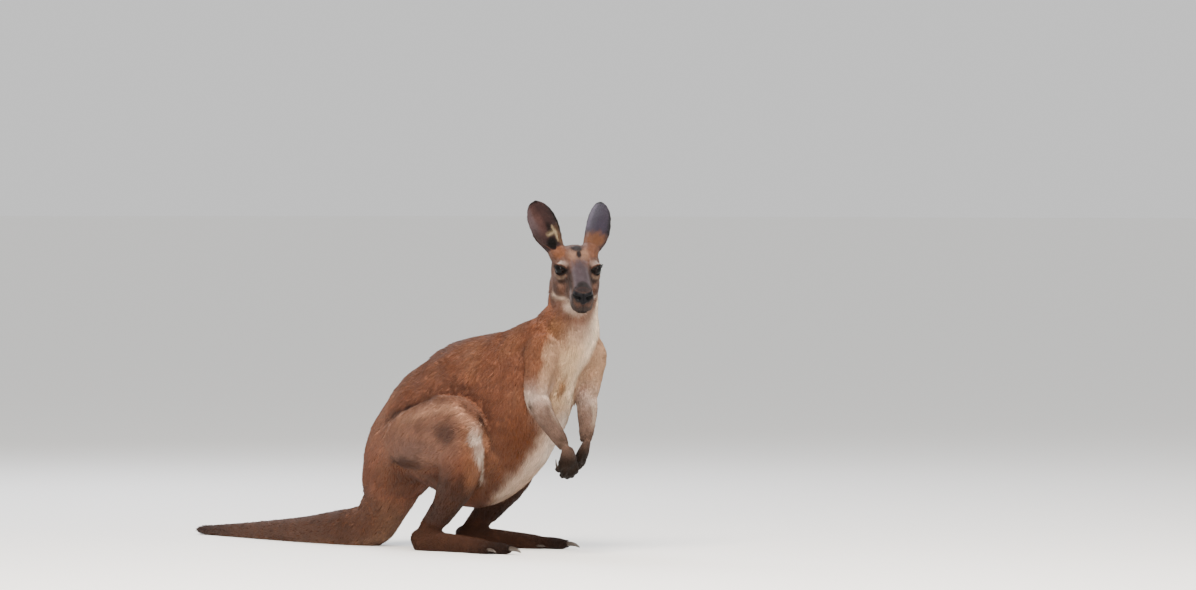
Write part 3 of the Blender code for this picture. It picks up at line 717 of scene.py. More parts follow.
def albedo(colour):
    """What one hair reflects so that the whole coat looks this colour."""
    return [HAIR_SHARE * share**HAIR_POWER for share in linear(colour)]


def mark(colour, mask):
    """Lay a colour over the coat where the mask is 1."""
    global paint
    mask = np.clip(mask, 0, 1)[:, None]
    paint = paint * (1 - mask) + np.array(albedo(colour)) * mask


def spot(x, y, at, reach, inner=0.3, outer=1.1):
    """1 in the middle of an oval given by its middle and its two reaches, and 0 outside it."""
    return ramp(np.hypot((x - at[0]) / reach[0], (y - at[1]) / reach[1]), outer, inner)


PARTS = ("head", "neck", "chest", "rump", "shank", "foot", "tail", "upper_arm", "hand")
w = {name: weight(name) for name in PARTS}
w["trunk"] = weight("chest", "belly", "rump", "tail_base")
coat_deep = coat_value(0, 10)
print("the trunk's share of the hide is", round(float(w["trunk"].mean()), 2))

# %% Back and flanks
# The numbers in the masks are millimetres: slant and HIGH in the world, and f, l and u on the head.
SPAN = 0.574, 0.819  # shares of outward and forward in a slanting line past the shoulder
slant = SPAN[1] * FRONT - SPAN[0] * np.abs(LEFT)  # the same on both sides
blotch, small_blotch = waves(co, 45, 3), waves(co, 22, 4)
border = 0.22 * waves(co, 16, 5)
paint = np.tile(np.array(albedo("#835641")), (len(co), 1))
mark("#6f5142", ramp(facing_up, 0.35, 0.95) * 0.45 * w["trunk"])  # darker along the back
mark("#774a33", ramp(blotch, 0.1, 0.8) * 0.35)  # dark blotches
mark("#91654a", ramp(-blotch, 0.2, 0.9) * 0.4)  # and pale ones
mark("#7d4f35", ramp(small_blotch, 0.2, 0.9) * 0.3 * w["trunk"])  # small ones on the trunk
mark("#a98570", w["rump"] * ramp(HIGH, 200, 300) * facing_side * 0.45)  # the sides of the rump are paler
# painted shade: the flank is darker ahead of the thigh
mark("#5c341f", spot(slant, HIGH, (235, 265), (90, 95)) * w["trunk"] * facing_side * 0.6)
print("mean colour with the back and the flanks:", paint.mean(axis=0).round(3))

# %% Cream belly, chest and neck
under = facing_front * 0.62 - facing_up * 0.78
CREAM_FROM = [129, 150, 193, 236, 290, 345], [246, 262, 298, 333, 356, 366]  # heights and slants of its edge
past_edge = slant - np.interp(HIGH, *CREAM_FROM) + 30 * border
on_chest = ramp(HIGH, 300, 345) * w["chest"]  # higher up the chest's own front decides
belly_part = weight("belly", "rump", "chest", rounds=14) * ramp(FRONT, 150, 260) * (1 - on_chest)
mark("#613719", ramp(past_edge, -95, -25) * belly_part * 0.8)  # darkest along the cream's edge
mark("#c9b09c", ramp(past_edge, -16, 22) * belly_part)  # the cream
mark("#e8dcd2", ramp(past_edge, 8, 60) * belly_part * ramp(HIGH, 170, 250) * 0.85)  # palest in its middle

breast = facing_front * 0.93 - facing_up * 0.25
mark("#a07658", ramp(breast + border * 0.4, 0.1, 0.55) * on_chest)  # the chest's front, tan
mark("#d2b594", ramp(breast + border * 0.5, 0.45, 0.86) * on_chest)  # then cream
mark("#7d5038", w["neck"] * ramp(breast, 0.6, 0.3) * 0.85)  # the neck's sides and back
# its tan border to the throat
mark("#7b583a", w["neck"] * ramp(breast, 0.0, 0.35) * ramp(breast, 0.85, 0.55) * 0.9)
# the pale throat
mark("#eedbc4", (w["neck"] + 0.8 * on_chest) * ramp(breast + border * 0.4, 0.52, 0.85) * ramp(LEFT, -50, 0))
for at, reach in (((2, 376), (16, 46)), ((-50, 366), (14, 22))):
    # two tan patches on the chest
    mark("#8a5c38", spot(LEFT, HIGH, at, reach) * ramp(facing_front, -0.2, 0.4) * 0.85)
print("mean colour with the belly and the chest:", paint.mean(axis=0).round(3))

# %% The fold over the thigh
# The thigh is parted from the flank by a fold of skin, with a pale rim of hair under it.
# Its shade, and the shade over it, are painted in; the fold is also pressed into the hide.
thigh = weight("thigh")
FOLD = [(10, 275), (47, 306), (126, 331), (180, 331), (212, 301), (240, 260), (256, 215)]  # (slant, high)
FOLD_DEEP = 1.8 * MM
from_fold, over_fold = from_path(slant, HIGH, FOLD)
at_border = np.clip(4 * thigh * (1 - thigh), 0, 1) ** 4
fold = band(from_fold, 6.5) * ramp(facing_out + 0.6 * facing_front, 0.05, 0.3)
fold = fold * (1 - 0.6 * ramp(facing_up, 0.35, 0.7) * (1 - at_border))
fold = np.maximum(fold, at_border * band(from_fold, 12) * ramp(facing_up, -0.2, 0.2))
fold = fold * np.clip(thigh + w["trunk"], 0, 1) * ramp(slant, 0, 40)
thigh = thigh * (1 - ramp(over_fold, 3, 9) * ramp(facing_out, 0.0, 0.3) * ramp(slant, 0, 30))
leg = np.maximum(thigh, w["shank"])
mark("#8d6957", thigh * 0.7)  # the thigh is greyer than the flank
mark("#7e5a4b", thigh * ramp(small_blotch, 0.1, 0.9) * 0.5)  # with blotches
# the pale rim under the fold
mark("#b48a71", band(from_fold - 17, 8) * (over_fold < 0) * thigh * ramp(slant, 20, 90) * 0.85)
# the shade over it
mark("#6b402b", band(from_fold - 11, 6) * (over_fold > 0) * w["trunk"] * ramp(slant, 150, 200) * 0.8)
# painted shade in the fold
mark("#351b10", fold)  # the fold itself
co = co - normals * (FOLD_DEEP * fold)[:, None]
set_places(hide.data, co)
print("the fold runs through", int((fold > 0.5).sum()), "vertices")

# %% Marks on the legs
mark("#46302a", spot(slant, HIGH, (156, 264), (34, 30)) * thigh * 0.75)  # a dark patch in the thigh's middle
mark("#6f5247", spot(slant, HIGH, (80, 232), (55, 30)) * thigh * 0.6)  # a greyer one behind it
# painted shade under the rump
mark("#4f2f1c", spot(slant, HIGH, (50, 165), (80, 60)) * np.maximum(leg, w["rump"]) * 0.7)
lower_fold, _ = from_path(slant, HIGH, [(30, 206), (62, 204), (98, 190)])
# painted shade along a lower fold, where the thigh meets the shank
mark("#44291d", band(lower_fold, 4.5) * leg * facing_side * 0.7)  # a lower fold
# painted shade low on the legs and the tail, darker towards the ground
low = ramp(HIGH + 10 * blotch, 225, 150) * ramp(FRONT, 375, 330)
mark("#3f2415", low * np.maximum(leg, w["tail"]) * 0.9)  # dark towards the ground
mark("#33201a", ramp(HIGH, 120, 50) * w["shank"] * 0.8)  # darkest at the heel
# the knee's red-brown border
mark("#8a5f45", ramp(slant, 180, 198) * leg * ramp(HIGH, 120, 160) * ramp(HIGH, 285, 262) * 0.7)
strip_half = np.interp(HIGH, [150, 172, 215, 258, 280], [4, 5, 9, 12, 9])
strip_middle = np.interp(HIGH, [172, 215, 258], [223, 218, 212])
strip = ramp((np.abs(slant - strip_middle) + 12 * border) / strip_half, 1.35, 0.35)
strip *= ramp(facing_front + facing_side, 0.6, 0.9) * ramp(facing_out, -0.5, 0.0)
strip *= ramp(HIGH, 95, 140) * ramp(HIGH, 288, 252)
mark("#cfbeb0", strip * leg * 0.85)  # and the pale strip down its front
print("the pale strip down the knee is", round(2 * strip_half.max()), "mm wide at most")

# %% Tail, feet and arms
mark("#7c5641", w["tail"] * 0.4)  # the tail
mark("#9c7a62", w["tail"] * ramp(-facing_up, 0.3, 0.8) * 0.6)  # paler underneath
mark("#3b251b", weight("tail_tip") * ramp(along_line(co, "tail_tip"), 0.2, 0.9) * 0.8)  # dark at its tip
mark("#3d281d", w["foot"] * 0.9)  # dark feet
mark("#835942", w["upper_arm"] * 0.85)  # upper arms
mark("#ba9a7e", w["upper_arm"] * ramp(facing_front + 0.3 * border, 0.35, 0.8) * 0.8)  # paler in front
speckle = waves(co, 7, 9)
for side in SIDES:
    # nearly black toes
    mark("#1e130f", weight("foot_" + side) * ramp(along_line(co, "foot_" + side), 0.55, 0.95) * 0.85)
    pale = ramp(along_line(co, "upper_arm_" + side) + 0.2 * border, 0.5, 0.95)
    strength = 1 if side == "right" else 0.5
    mark("#c3afa2", ramp(weight("upper_arm_" + side), 0.45, 0.75) * pale * strength)  # pale elbows
    reach = along_line(co, "forearm_" + side)
    arm = weight("forearm_" + side)
    mark("#8d776b", arm)  # grey forearms
    mark("#c0aca0", arm * ramp(reach, 0.2, 0.0) * 0.85)  # pale at the elbow
    mark("#6d574c", arm * ramp(reach + 0.15 * speckle, 0.05, 0.4) * 0.85)  # darker down the arm
    mark("#57453b", arm * ramp(reach + 0.12 * speckle, 0.62, 1.0) * 0.8)  # darkest at the wrist
    # a pale streak in front
    mark("#cdb8a4", arm * ramp(facing_front, 0.75, 0.95) * ramp(reach, 0.7, 0.4) * 0.5)
    paw = weight("hand_" + side)
    mark("#6d574c", paw)  # the hand
    mark("#281b12", paw * (0.3 + 0.7 * ramp(along_line(co, "hand_" + side), 0.0, 0.4)))  # its dark fingers
mark("#1c110a", w["hand"] * ramp(HIGH, 195, 165) * 0.7)  # nearly black fingertips
arm_border = np.clip(4 * w["upper_arm"] * (1 - w["upper_arm"]), 0, 1) ** 2
behind_arm = arm_border * ramp(-facing_front, -0.2, 0.5)
mark("#2b160e", behind_arm * ramp(HIGH, 250, 300) * ramp(HIGH, 470, 430) * 0.85)  # the shade behind the arm
print("mean colour with the limbs and the tail:", paint.mean(axis=0).round(3))

# %% Forehead, bridge and muzzle
f, l, u = on_head(co)
a = np.abs(l)
head = np.maximum(w["head"], weight("nose"))
speckle = waves(co, 5, 11)
mark("#68493a", head)  # the head's ground colour
mark("#84655a", head * ramp(speckle, -0.2, 0.8) * 0.6)  # speckled
# red-brown behind the brows
mark("#7c5138", head * spot(a, f, (36, -22), (16, 22), 0.4, 1.0) * ramp(u, 12, 20) * 0.7)
mark("#96745f", head * spot(a, f, (0, -10), (26, 26), 0.5, 1.0) * ramp(u, 5, 15) * 0.85)  # a pale forehead
bridge = ramp(a, 21, 13) * ramp(f - 0.9 * a + 7 * speckle, -14, 24) * ramp(u, -12, -4)
mark("#493f46", head * bridge * 0.92)  # the grey bridge
mark("#70656b", head * bridge * band(a - 15, 4) * 0.6)  # its paler edges
side_line, _ = from_path(f, a, [(12, 22), (30, 20.5), (52, 21), (74, 22)])
mark("#271918", head * band(side_line, 4.0) * ramp(u, -30, -16) * 0.8)  # a dark line along the muzzle's side
mark("#1c1716", head * spot(a, f, (0, 83), (17, 15), 0.45) * ramp(u, -17, -9) * 0.9)  # dark over the nose
mark("#443b37", head * ramp(f, 68, 82) * ramp(u, -12, -24) * 0.9)  # and beside it
above_lip = ramp(u, -44, -34) * ramp(u, -10, -20)
# grey over the lip
mark("#857876", head * ramp(f, 56, 70) * ramp(f, 92, 84) * ramp(a, 17, 23) * above_lip * 0.75)
mark("#2c2422", head * ramp(f, 80, 90) * ramp(a, 22, 6) * ramp(u, -34, -44) * 0.6)  # dark under the nose
crown = np.minimum(np.hypot((l + 1) / 16, (f + 27) / 15), np.hypot((l - 1) / 6.5, (f + 8) / 14))
mark("#1f0b05", ramp(crown + 0.12 * speckle, 1.1, 0.5) * ramp(u, 10, 18) * head)  # the mark on the crown
print("the grey bridge covers", int((bridge > 0.5).sum()), "vertices")

# %% Round spots on both sides of the face
for at_f, at_l, at_u, reach, colour, strength in (
    (16, 50, -52, 32, "#50362a", 0.55),
    (50, 34, -36, 18, "#5d4438", 0.5),
    (13, 32, -21, 14, "#24150f", 0.9),
    (26, 28, -16, 10, "#1f120d", 0.8),
    (36, 29, -32, 12, "#33221b", 0.75),
    (8, 46, -18, 11, "#3d271d", 0.6),
    (18, 40, -34, 12, "#97796a", 0.6),
    (0, 50, -45, 15, "#4d3122", 0.7),
    (14, 44, -54, 11, "#3d281c", 0.65),
    (40, 28, -44, 10, "#533321", 0.5),
    (-52, 48, 8, 10, "#cfc1b4", 0.7),
    (-58, 47, -6, 9, "#cfc1b4", 0.6),
):
    away = np.sqrt((f - at_f) ** 2 + (a - at_l) ** 2 + (u - at_u) ** 2) / reach
    mark(colour, head * ramp(away, 1.1, 0.35) * strength)
print("the head's mean colour:", paint[head > 0.5].mean(axis=0).round(3))

# %% Mouth, throat and the rims of the eyes
throat = np.hypot(a / 30, np.hypot((f - 8) / 30, (u + 82) / 17))
mark("#c6b2a1", np.maximum(head, w["neck"]) * ramp(throat, 1.1, 0.4) * 0.85)  # the throat under the jaw
mouth_line, over_mouth = from_path(f, u, MOUTH)
cheek_stripe, _ = from_path(f, u, [(64, -50), (38, -57), (10, -64), (-12, -66)])
mark("#cdb5a2", head * band(cheek_stripe, 6.0) * (a > 14) * 0.8)  # the pale stripe along the cheek
mark("#a8907f", head * ramp(f, 30, 50) * ramp(over_mouth, -1, -5) * (u < -30) * 0.9)  # the lower jaw
mark("#dccbbb", head * spot(f, u, (58, -50), (20, 9), 0.4) * (a > 14) * 0.8)  # a pale patch on the lips
mark("#2a1812", head * spot(f, u, (98, -53), (14, 7), 0.6) * (a < 17) * 0.85)  # the dark front of the lips
mark("#0c0706", head * band(mouth_line, 2.2) * (f > 36) * (u < -30))  # the mouth line
mark("#120c0d", head * band(l, 1.2) * ramp(f, 86, 91) * ramp(u, -54, -50) * ramp(-u, 28, 31))  # the cleft
for side in SIDES:
    opening, distance, tall, turn = eye_opening(co, side)
    close = ramp(distance, LIDS_REACH, 1.5 * EYE_RADIUS)
    above = band(turn - 8, 62) * ramp(tall, 14, 32)
    mark("#bfafa6", close * ramp(opening, 1.3, 1.5) * ramp(opening, 2.6, 1.8) * above * 0.8)  # a pale brow
    # pale under the eye
    mark("#97806f", close * ramp(opening, 1.25, 1.4) * ramp(opening, 2.1, 1.7) * ramp(-tall, 15, 35) * 0.5)
    mark("#060403", close * ramp(opening, 1.32, 1.10))  # the lids' black edges
    mark("#0b0706", close * spot(turn, tall, (-88, 6), (24, 10), 0.4, 1.0) * 0.8)  # the eye's outer corner
    mark("#0b0706", close * spot(turn, tall, (84, -6), (16, 9), 0.4, 1.0) * 0.85)  # the eye's inner corner
print("the head's mean colour with its pale marks:", paint[head > 0.5].mean(axis=0).round(3))

# %% Ears
# The way that each ear's opening faces, as an ear turns on its own.
EAR_FACES = {"left": Vector((0.93, -0.02, -0.35)), "right": Vector((-0.86, -0.42, 0.10))}


def on_ear(points, side):
    """How far up an ear, 0 to 1, and across it in millimetres; and the ways that it opens and goes across."""
    start, end = (np.array(p) for p in LINES["ear_" + side])
    way = (end - start) / np.linalg.norm(end - start)
    faces = np.array(EAR_FACES[side])
    faces = faces - way * (faces @ way)
    faces /= np.linalg.norm(faces)
    across = np.cross(way, faces)
    if across @ np.array(LEFTWARD) * (1 if side == "left" else -1) > 0:
        across = -across
    return along_line(points, "ear_" + side), (points - start) @ across / MM, faces, across


def half_width(mine, up_ear, across_ear):
    """Half the ear's width in millimetres at each vertex's height."""
    heights = np.linspace(0, 1, 9)
    widest = [np.abs(across_ear[mine & (np.abs(up_ear - at) < 0.07)]).max(initial=12.0) for at in heights]
    return np.interp(up_ear, heights, widest)


fringe, fringe_way = np.zeros(len(co)), np.zeros_like(co)  # the long pale hairs inside the ears
for side in SIDES:
    mine = weight("ear_" + side, rounds=5)
    up_ear, across_ear, faces, across = on_ear(co, side)
    inner = mine * ramp(normals @ faces, -0.05, 0.25)
    edge_share = np.abs(across_ear) / half_width(mine > 0.5, up_ear, across_ear)
    outer = mine - inner
    mark("#37313d", outer)  # the outside
    # its pale middle
    mark("#615968", outer * ramp(np.abs(across_ear - 8), 12, 4) * ramp(up_ear, 0.3, 0.42) * 0.6)
    mark("#67452f", outer * ramp(up_ear + 0.04 * speckle, 0.32, 0.14) * 0.95)  # its red-brown root
    mark("#372625", inner)  # the inside
    mark("#4f3834", inner * spot(across_ear, up_ear, (-9, 0.62), (15, 0.34)) * 0.8)  # its bare skin
    mark("#5a4d50", inner * ramp(-across_ear, 8, 18) * ramp(up_ear, 0.3, 0.6) * 0.6)  # grey outer edge
    # painted shade in the ear's hollow
    mark("#170c0a", inner * spot(across_ear, up_ear, (7, 0.42), (8, 0.15)) * 0.85)  # a dark hollow
    mark("#5f4836", inner * ramp(across_ear, 12, 17) * ramp(up_ear, 0.45, 0.3) * 0.8)  # brown inner edge
    # painted shade for the ear hole
    mark("#0b0605", inner * spot(across_ear, up_ear, (-3, 0.13), (14, 0.14), 0.5))  # the ear hole
    sweep = band(up_ear - 0.31, 0.03) * ramp(across_ear, -9, 2) * ramp(across_ear, 20, 16)
    stem = band(across_ear - 13, 2.6) * ramp(up_ear, 0.02, 0.08) * ramp(up_ear, 0.46, 0.3)
    fringe = np.maximum(fringe, inner * np.maximum(sweep, stem))
    fringe_way += (inner * (sweep > stem))[:, None] * -across
    mark("#b09f80", inner * np.maximum(sweep, stem) * 0.8)  # the long pale hairs
    edge_share *= np.where(across_ear > 0, 1.0, 0.93)
    mark("#0b0706", mine * ramp(edge_share, 0.80, 0.93) * ramp(up_ear, 0.05, 0.2) * 0.9)  # its black rim
    mark("#0b0706", mine * ramp(up_ear, 0.93, 0.97) * 0.85)  # and the tip
print("the ears' long pale hairs grow from", int((fringe > 0.5).sum()), "vertices")

# %% Round the nose
bare = np.maximum(ramp(pad_inside(co), -0.8, 0.3), nostril(co))
mark("#2a2322", head * ramp(pad_inside(co), -9, -3) * 0.75)  # dark hair round the nose pad
# black under the nose pad: the bare skin's own colour, and painted shade in the nostrils
mark("#060507", bare)  # and black under it
print("mean coat colour:", [round(float(x), 3) for x in paint.mean(axis=0)])

# %% Give the hide its colour and its finish
def dressed(piece, look, slot, *stands_for):
    piece.data.shade_smooth()
    piece.data.materials.clear()
    piece.data.materials.append(look)
    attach(piece, "root")
    if stands_for:
        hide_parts(*stands_for)


def paint_attribute(mesh, colours):
    """Keep a colour for each vertex in the mesh, for the material to read."""
    for old in list(mesh.color_attributes):
        mesh.color_attributes.remove(old)
    layer = mesh.color_attributes.new("coat", "FLOAT_COLOR", "POINT")
    rgba = np.ones((len(colours), 4), np.float32)
    rgba[:, :3] = colours
    layer.data.foreach_set("color", rgba.ravel())


shaded = 1 - 0.2 * ramp(coat_deep, 1.5, 5)  # under long hair the hide lies in its shade
paint_attribute(hide.data, paint * shaded[:, None])


def fur_colour(tree, shader, size, detail, swing):
    """The painted colour into the shader, lighter and darker by `swing` in grains of `size` millimetres."""
    colour = add(tree, "ShaderNodeVertexColor", layer_name="coat")
    where = add(tree, "ShaderNodeTexCoord").outputs["Object"]
    grains = add(tree, "ShaderNodeTexNoise", {"Vector": where}, Scale=grain(size), Detail=detail)
    span = {"To Min": 1 - swing, "To Max": 1 + swing}
    tone = add(tree, "ShaderNodeMapRange", {"Value": grains.outputs["Fac"]}, **span)
    parts = {0: colour.outputs["Color"], "Scale": tone.outputs["Result"]}
    mixed = add(tree, "ShaderNodeVectorMath", parts, operation="SCALE")
    tree.links.new(mixed.outputs["Vector"], shader.inputs["Base Color"])
    return grains


# Skin under fur is matt, and the hairs seen edge on give a faint sheen. Its short hairs are drawn a
# millimetre apart, several times as coarse as real ones, which wouldn't show.
SKIN_GLOSS = dict(Roughness=0.75, Specular_IOR_Level=0.12, Sheen_Weight=0.04)
fur_skin, tree, shader = material("short fur over skin", **SKIN_GLOSS)
grains = fur_colour(tree, shader, 1.1, 3.0, 0.28)
bump = add(tree, "ShaderNodeBump", {"Height": grains.outputs["Fac"]}, Strength=0.35, Distance=0.6 * MM)
tree.links.new(bump.outputs["Normal"], shader.inputs["Normal"])
dressed(hide, fur_skin, "coat_red", *FLESH)
print("the hide stands for", len(FLESH), "packed nodes")

# %% [markdown]
# ## Bare nose
#
# The nose pad is wet, black, pebbled skin. It could be a dark patch in the fur's material, but it needs its
# own gloss and its own bump, and it stands a little proud of the fur. So its faces are copied off the hide,
# raised by a soft step that ends at the pad's outline, and closed behind with the Solidify modifier.

# %% Nose pad
PAD_MARGIN = 1.2  # millimetres past its outline that the pad goes on under the fur
PAD_THICK = 1.2 * MM
bm = bmesh.new()
bm.from_mesh(hide.data)
inside = pad_inside(places(hide.data))
bm.verts.ensure_lookup_table()
gone = [face for face in bm.faces if min(inside[v.index] for v in face.verts) < -PAD_MARGIN]
bmesh.ops.delete(bm, geom=gone, context="FACES")
pad = mesh_object("nose_pad", bm)
co_pad = places(pad.data)
raised = ramp(pad_inside(co_pad), -0.6, 1.6) * 0.9 - 0.25
set_places(pad.data, co_pad + directions(pad.data) * (raised * MM)[:, None])
modified(pad, "SOLIDIFY", thickness=PAD_THICK, offset=-1.0)
# painted shade: the nostrils' hollows are drawn nearly black
deep = nostril(places(pad.data))[:, None]
paint_attribute(pad.data, np.array(linear("#0b0a0d")) * (1 - 0.95 * deep))

# Wet, horny skin in pebbles a little over a millimetre wide: black, with small broken highlights.
wet_skin, tree, shader = material("wet black nose skin", Roughness=0.36, Specular_IOR_Level=0.09)
colour = add(tree, "ShaderNodeVertexColor", layer_name="coat")
tree.links.new(colour.outputs["Color"], shader.inputs["Base Color"])
where = add(tree, "ShaderNodeTexCoord")
pebbles = add(tree, "ShaderNodeTexVoronoi", {"Vector": where.outputs["Object"]}, Scale=grain(1.2))
bump = add(tree, "ShaderNodeBump", {"Height": pebbles.outputs["Distance"]}, Strength=0.5, Distance=0.5 * MM)
tree.links.new(bump.outputs["Normal"], shader.inputs["Normal"])
dressed(pad, wet_skin, "nose_black", "nose")
print("the nose pad has", triangle_count(pad.data), "triangles")

# %% [markdown]
# ## Eyes
#
# A wallaroo's eye shows almost no white: a dark brown iris round a wide pupil, all under a clear, wet cornea
# that bulges a little. The eyeball is a sphere whose front is pushed out into the cornea. Its colour comes
# from the angle to the line of sight, kept in an attribute, and the wet look from a low roughness.

# %% Eyeballs
IRIS_EDGE, PUPIL_EDGE = 47.0, 24.0  # degrees from the line of sight
CORNEA_RISE = 0.7 * MM
# A film of tears over the cornea is as smooth as glass and bends light a little more than water does: the
# lamps show in it as small sharp points.
wet_eye, tree, shader = material("wet dark eye", Roughness=0.03, IOR=1.38, Specular_IOR_Level=0.13)
colour = add(tree, "ShaderNodeVertexColor", layer_name="coat")
tree.links.new(colour.outputs["Color"], shader.inputs["Base Color"])
for side in SIDES:
    centre, out = EYES[side][:2]
    bm = bmesh.new()
    bmesh.ops.create_uvsphere(bm, u_segments=48, v_segments=32, radius=EYE_RADIUS)
    bmesh.ops.rotate(bm, matrix=UPWARD.rotation_difference(out).to_matrix(), verts=bm.verts)
    bmesh.ops.translate(bm, vec=centre, verts=bm.verts)
    ball = mesh_object("eyeball_" + side, bm)
    points = places(ball.data)
    way = (points - np.array(centre)) / EYE_RADIUS
    angle = np.degrees(np.arccos(np.clip(way @ np.array(out), -1, 1)))
    points += way * (CORNEA_RISE * np.clip(1 - (angle / IRIS_EDGE) ** 2, 0, 1))[:, None]
    set_places(ball.data, points)
    iris = np.array(linear("#0e0706")) * (0.6 + 0.8 * ramp(angle, PUPIL_EDGE, IRIS_EDGE - 8))[:, None]
    iris *= (1 - 0.8 * ramp(angle, IRIS_EDGE - 7, IRIS_EDGE))[:, None]
    white = np.array(linear("#14100e"))
    outside = ramp(angle, IRIS_EDGE, IRIS_EDGE + 5)[:, None]
    pupil = ramp(angle, PUPIL_EDGE + 2, PUPIL_EDGE - 4)[:, None]
    paint_attribute(ball.data, (iris * (1 - outside) + white * outside) * (1 - pupil) + 0.002 * pupil)
    dressed(ball, wet_eye, "eye_dark", "eye_" + side)
    print(ball.name, "has", triangle_count(ball.data), "triangles")

# %% [markdown]
# ## Lid rims and lashes
#
# The edge of a lid is a narrow roll of bare, black, moist skin that lies on the eyeball. The hide's net is
# too coarse for so fine an edge, so the rim is its own roll: a circle of points, swept round the opening's
# outline. Each lash is a thin tapered spike that grows from the upper rim and curves up and out.


# %% A roll round each eye
def rim_place(side, t, above=0.55):
    """A place on the lids' edge, t from 0 to 1 round the eye from the inner corner over the top."""
    centre, out, slit, lift = EYES[side]
    turn, rise = math.cos(2 * math.pi * t), math.sin(2 * math.pi * t)
    grow = (abs(turn) ** CURVE + abs(rise) ** CURVE) ** (-1 / CURVE)
    reach = LID_OVER if rise > 0 else LID_UNDER
    turn, rise = math.radians(turn * grow * LID_WIDE), math.radians(rise * grow * reach)
    way = (out * math.cos(turn) + slit * math.sin(turn)) * math.cos(rise) + lift * math.sin(rise)
    return centre + way * (EYE_RADIUS + above * MM), way


def ring_of(bm, place, one, other, corners):
    """A circle's vertices round a place, its two radii given as vectors."""
    spread = Matrix((-other, one, one.cross(other).normalized())).transposed().to_4x4()
    turned = Matrix.Translation(place) @ spread
    return bmesh.ops.create_circle(bm, segments=corners, radius=1.0, matrix=turned)["verts"]


def bridged(bm, rings):
    """Faces between each ring of vertices and the next."""
    loops = [list(dict.fromkeys(edge for vert in ring for edge in vert.link_edges)) for ring in rings]
    for ring, following in zip(loops, loops[1:]):
        bmesh.ops.bridge_loops(bm, edges=ring + following)


RIM_STEPS, RIM_SIDES = 96, 10
UPPER_RIM, LOWER_RIM = 0.95 * MM, 0.7 * MM  # half the roll's thickness
# Bare moist skin: black and satin, with fine wrinkles under a millimetre apart.
LID_LOOK = dict(Base_Color=(*linear("#060404"), 1), Roughness=0.45, Specular_IOR_Level=0.12)
rim_skin, tree, shader = material("moist lid skin", **LID_LOOK)
where = add(tree, "ShaderNodeTexCoord")
wrinkles = add(tree, "ShaderNodeTexNoise", {"Vector": where.outputs["Object"]}, Scale=grain(0.7), Detail=2.0)
bump = add(tree, "ShaderNodeBump", {"Height": wrinkles.outputs["Fac"]}, Strength=0.25, Distance=0.2 * MM)
tree.links.new(bump.outputs["Normal"], shader.inputs["Normal"])
for side in SIDES:
    bm = bmesh.new()
    rings = []
    for i in range(RIM_STEPS):
        place, way = rim_place(side, i / RIM_STEPS)
        before, after = (rim_place(side, step / RIM_STEPS)[0] for step in (i - 1, i + 1))
        ahead = (after - before).normalized()
        sideways = ahead.cross(way).normalized()
        thick = UPPER_RIM if math.sin(2 * math.pi * i / RIM_STEPS) > 0 else LOWER_RIM
        rings.append(ring_of(bm, place, way * 0.95 * thick, sideways * thick, RIM_SIDES))
    bridged(bm, rings + rings[:1])
    bmesh.ops.recalc_face_normals(bm, faces=bm.faces)
    rim = mesh_object("lid_rim_" + side, bm)
    dressed(rim, rim_skin, "nose_black")
    print(rim.name, "has", triangle_count(rim.data), "triangles")


# %% Lashes and whiskers
def bristles(name, stems):
    """Tapered bent spikes in one piece. Each stem is a root, a way, a bend, a length and a width."""
    bm = bmesh.new()
    for root, way, bend, long, wide in stems:
        aside = way.cross(bend).normalized()
        rings = []
        for step in range(BRISTLE_STEPS + 1):
            t = step / BRISTLE_STEPS
            place = root + (way * t + bend * t * t) * long * MM
            thick = wide * MM / 2 * (1 - 0.85 * t)
            ahead = (way + bend * 2 * t).normalized()
            rings.append(ring_of(bm, place, aside * thick, aside.cross(ahead) * thick, BRISTLE_SIDES))
        bmesh.ops.contextual_create(bm, geom=rings[0])
        bridged(bm, rings)
        bmesh.ops.pointmerge(bm, verts=rings[-1], merge_co=root + (way + bend) * long * MM)
    bmesh.ops.recalc_face_normals(bm, faces=bm.faces)
    made = mesh_object(name, bm)
    dressed(made, rim_skin, "nose_black")
    print(name, "has", len(stems), "bristles and", triangle_count(made.data), "triangles")


BRISTLE_STEPS, BRISTLE_SIDES = 5, 5
WHISKER_ROOT = 0.5 * MM  # how deep a whisker starts in the skin
LASHES_ABOVE, LASHES_BELOW = 46, 16
hide_tree = BVHTree.FromPolygons(co.tolist(), [p.vertices[:] for p in hide.data.polygons])
for side in SIDES:
    stems = []
    for count, first, last, long in ((LASHES_ABOVE, 0.03, 0.5, 6.2), (LASHES_BELOW, 0.6, 0.9, 2.6)):
        for t in np.linspace(first, last, count):
            place, way = rim_place(side, t + chance.uniform(-0.004, 0.004), above=1.1)
            lift = EYES[side][3] * math.copysign(1, 0.5 - t)
            fan = EYES[side][2] * math.cos(2 * math.pi * t)
            start = (way * 0.8 + lift * 0.45 + fan * 0.35).normalized()
            stems.append((place, start, lift * 0.35, long * chance.uniform(0.7, 1.1), 0.5))
    bristles("lashes_" + side, stems)
    stems = []
    sign = 1 if side == "left" else -1
    for row in range(4):
        for column in range(5):
            on_lip = head_place(88 - 9 * column, sign * (19 + 1.3 * column), -30 - 4.5 * row + 0.8 * column)
            place, normal, _, _ = hide_tree.find_nearest(on_lip)
            way = (normal + AHEAD * 0.25 - CROWNWARD * 0.2).normalized()
            bend = (-AHEAD * 0.35 - CROWNWARD * 0.25) * chance.uniform(0.7, 1.2)
            stems.append((place - normal * WHISKER_ROOT, way, bend, chance.uniform(12, 26), 0.24))
    bristles("whiskers_" + side, stems)

# %% [markdown]
# ## The lie of the coat
#
# Hair leans the same way over a wide area: from the nose back over the skull, down the neck, back and down
# the flanks, along each limb. Each vertex first gets the direction of its part's line, on the trunk with some
# fall towards the ground, and on the head the way from the nose. Relaxing blends the directions where parts
# meet, and taking off the share along the outward direction lays them in the surface.

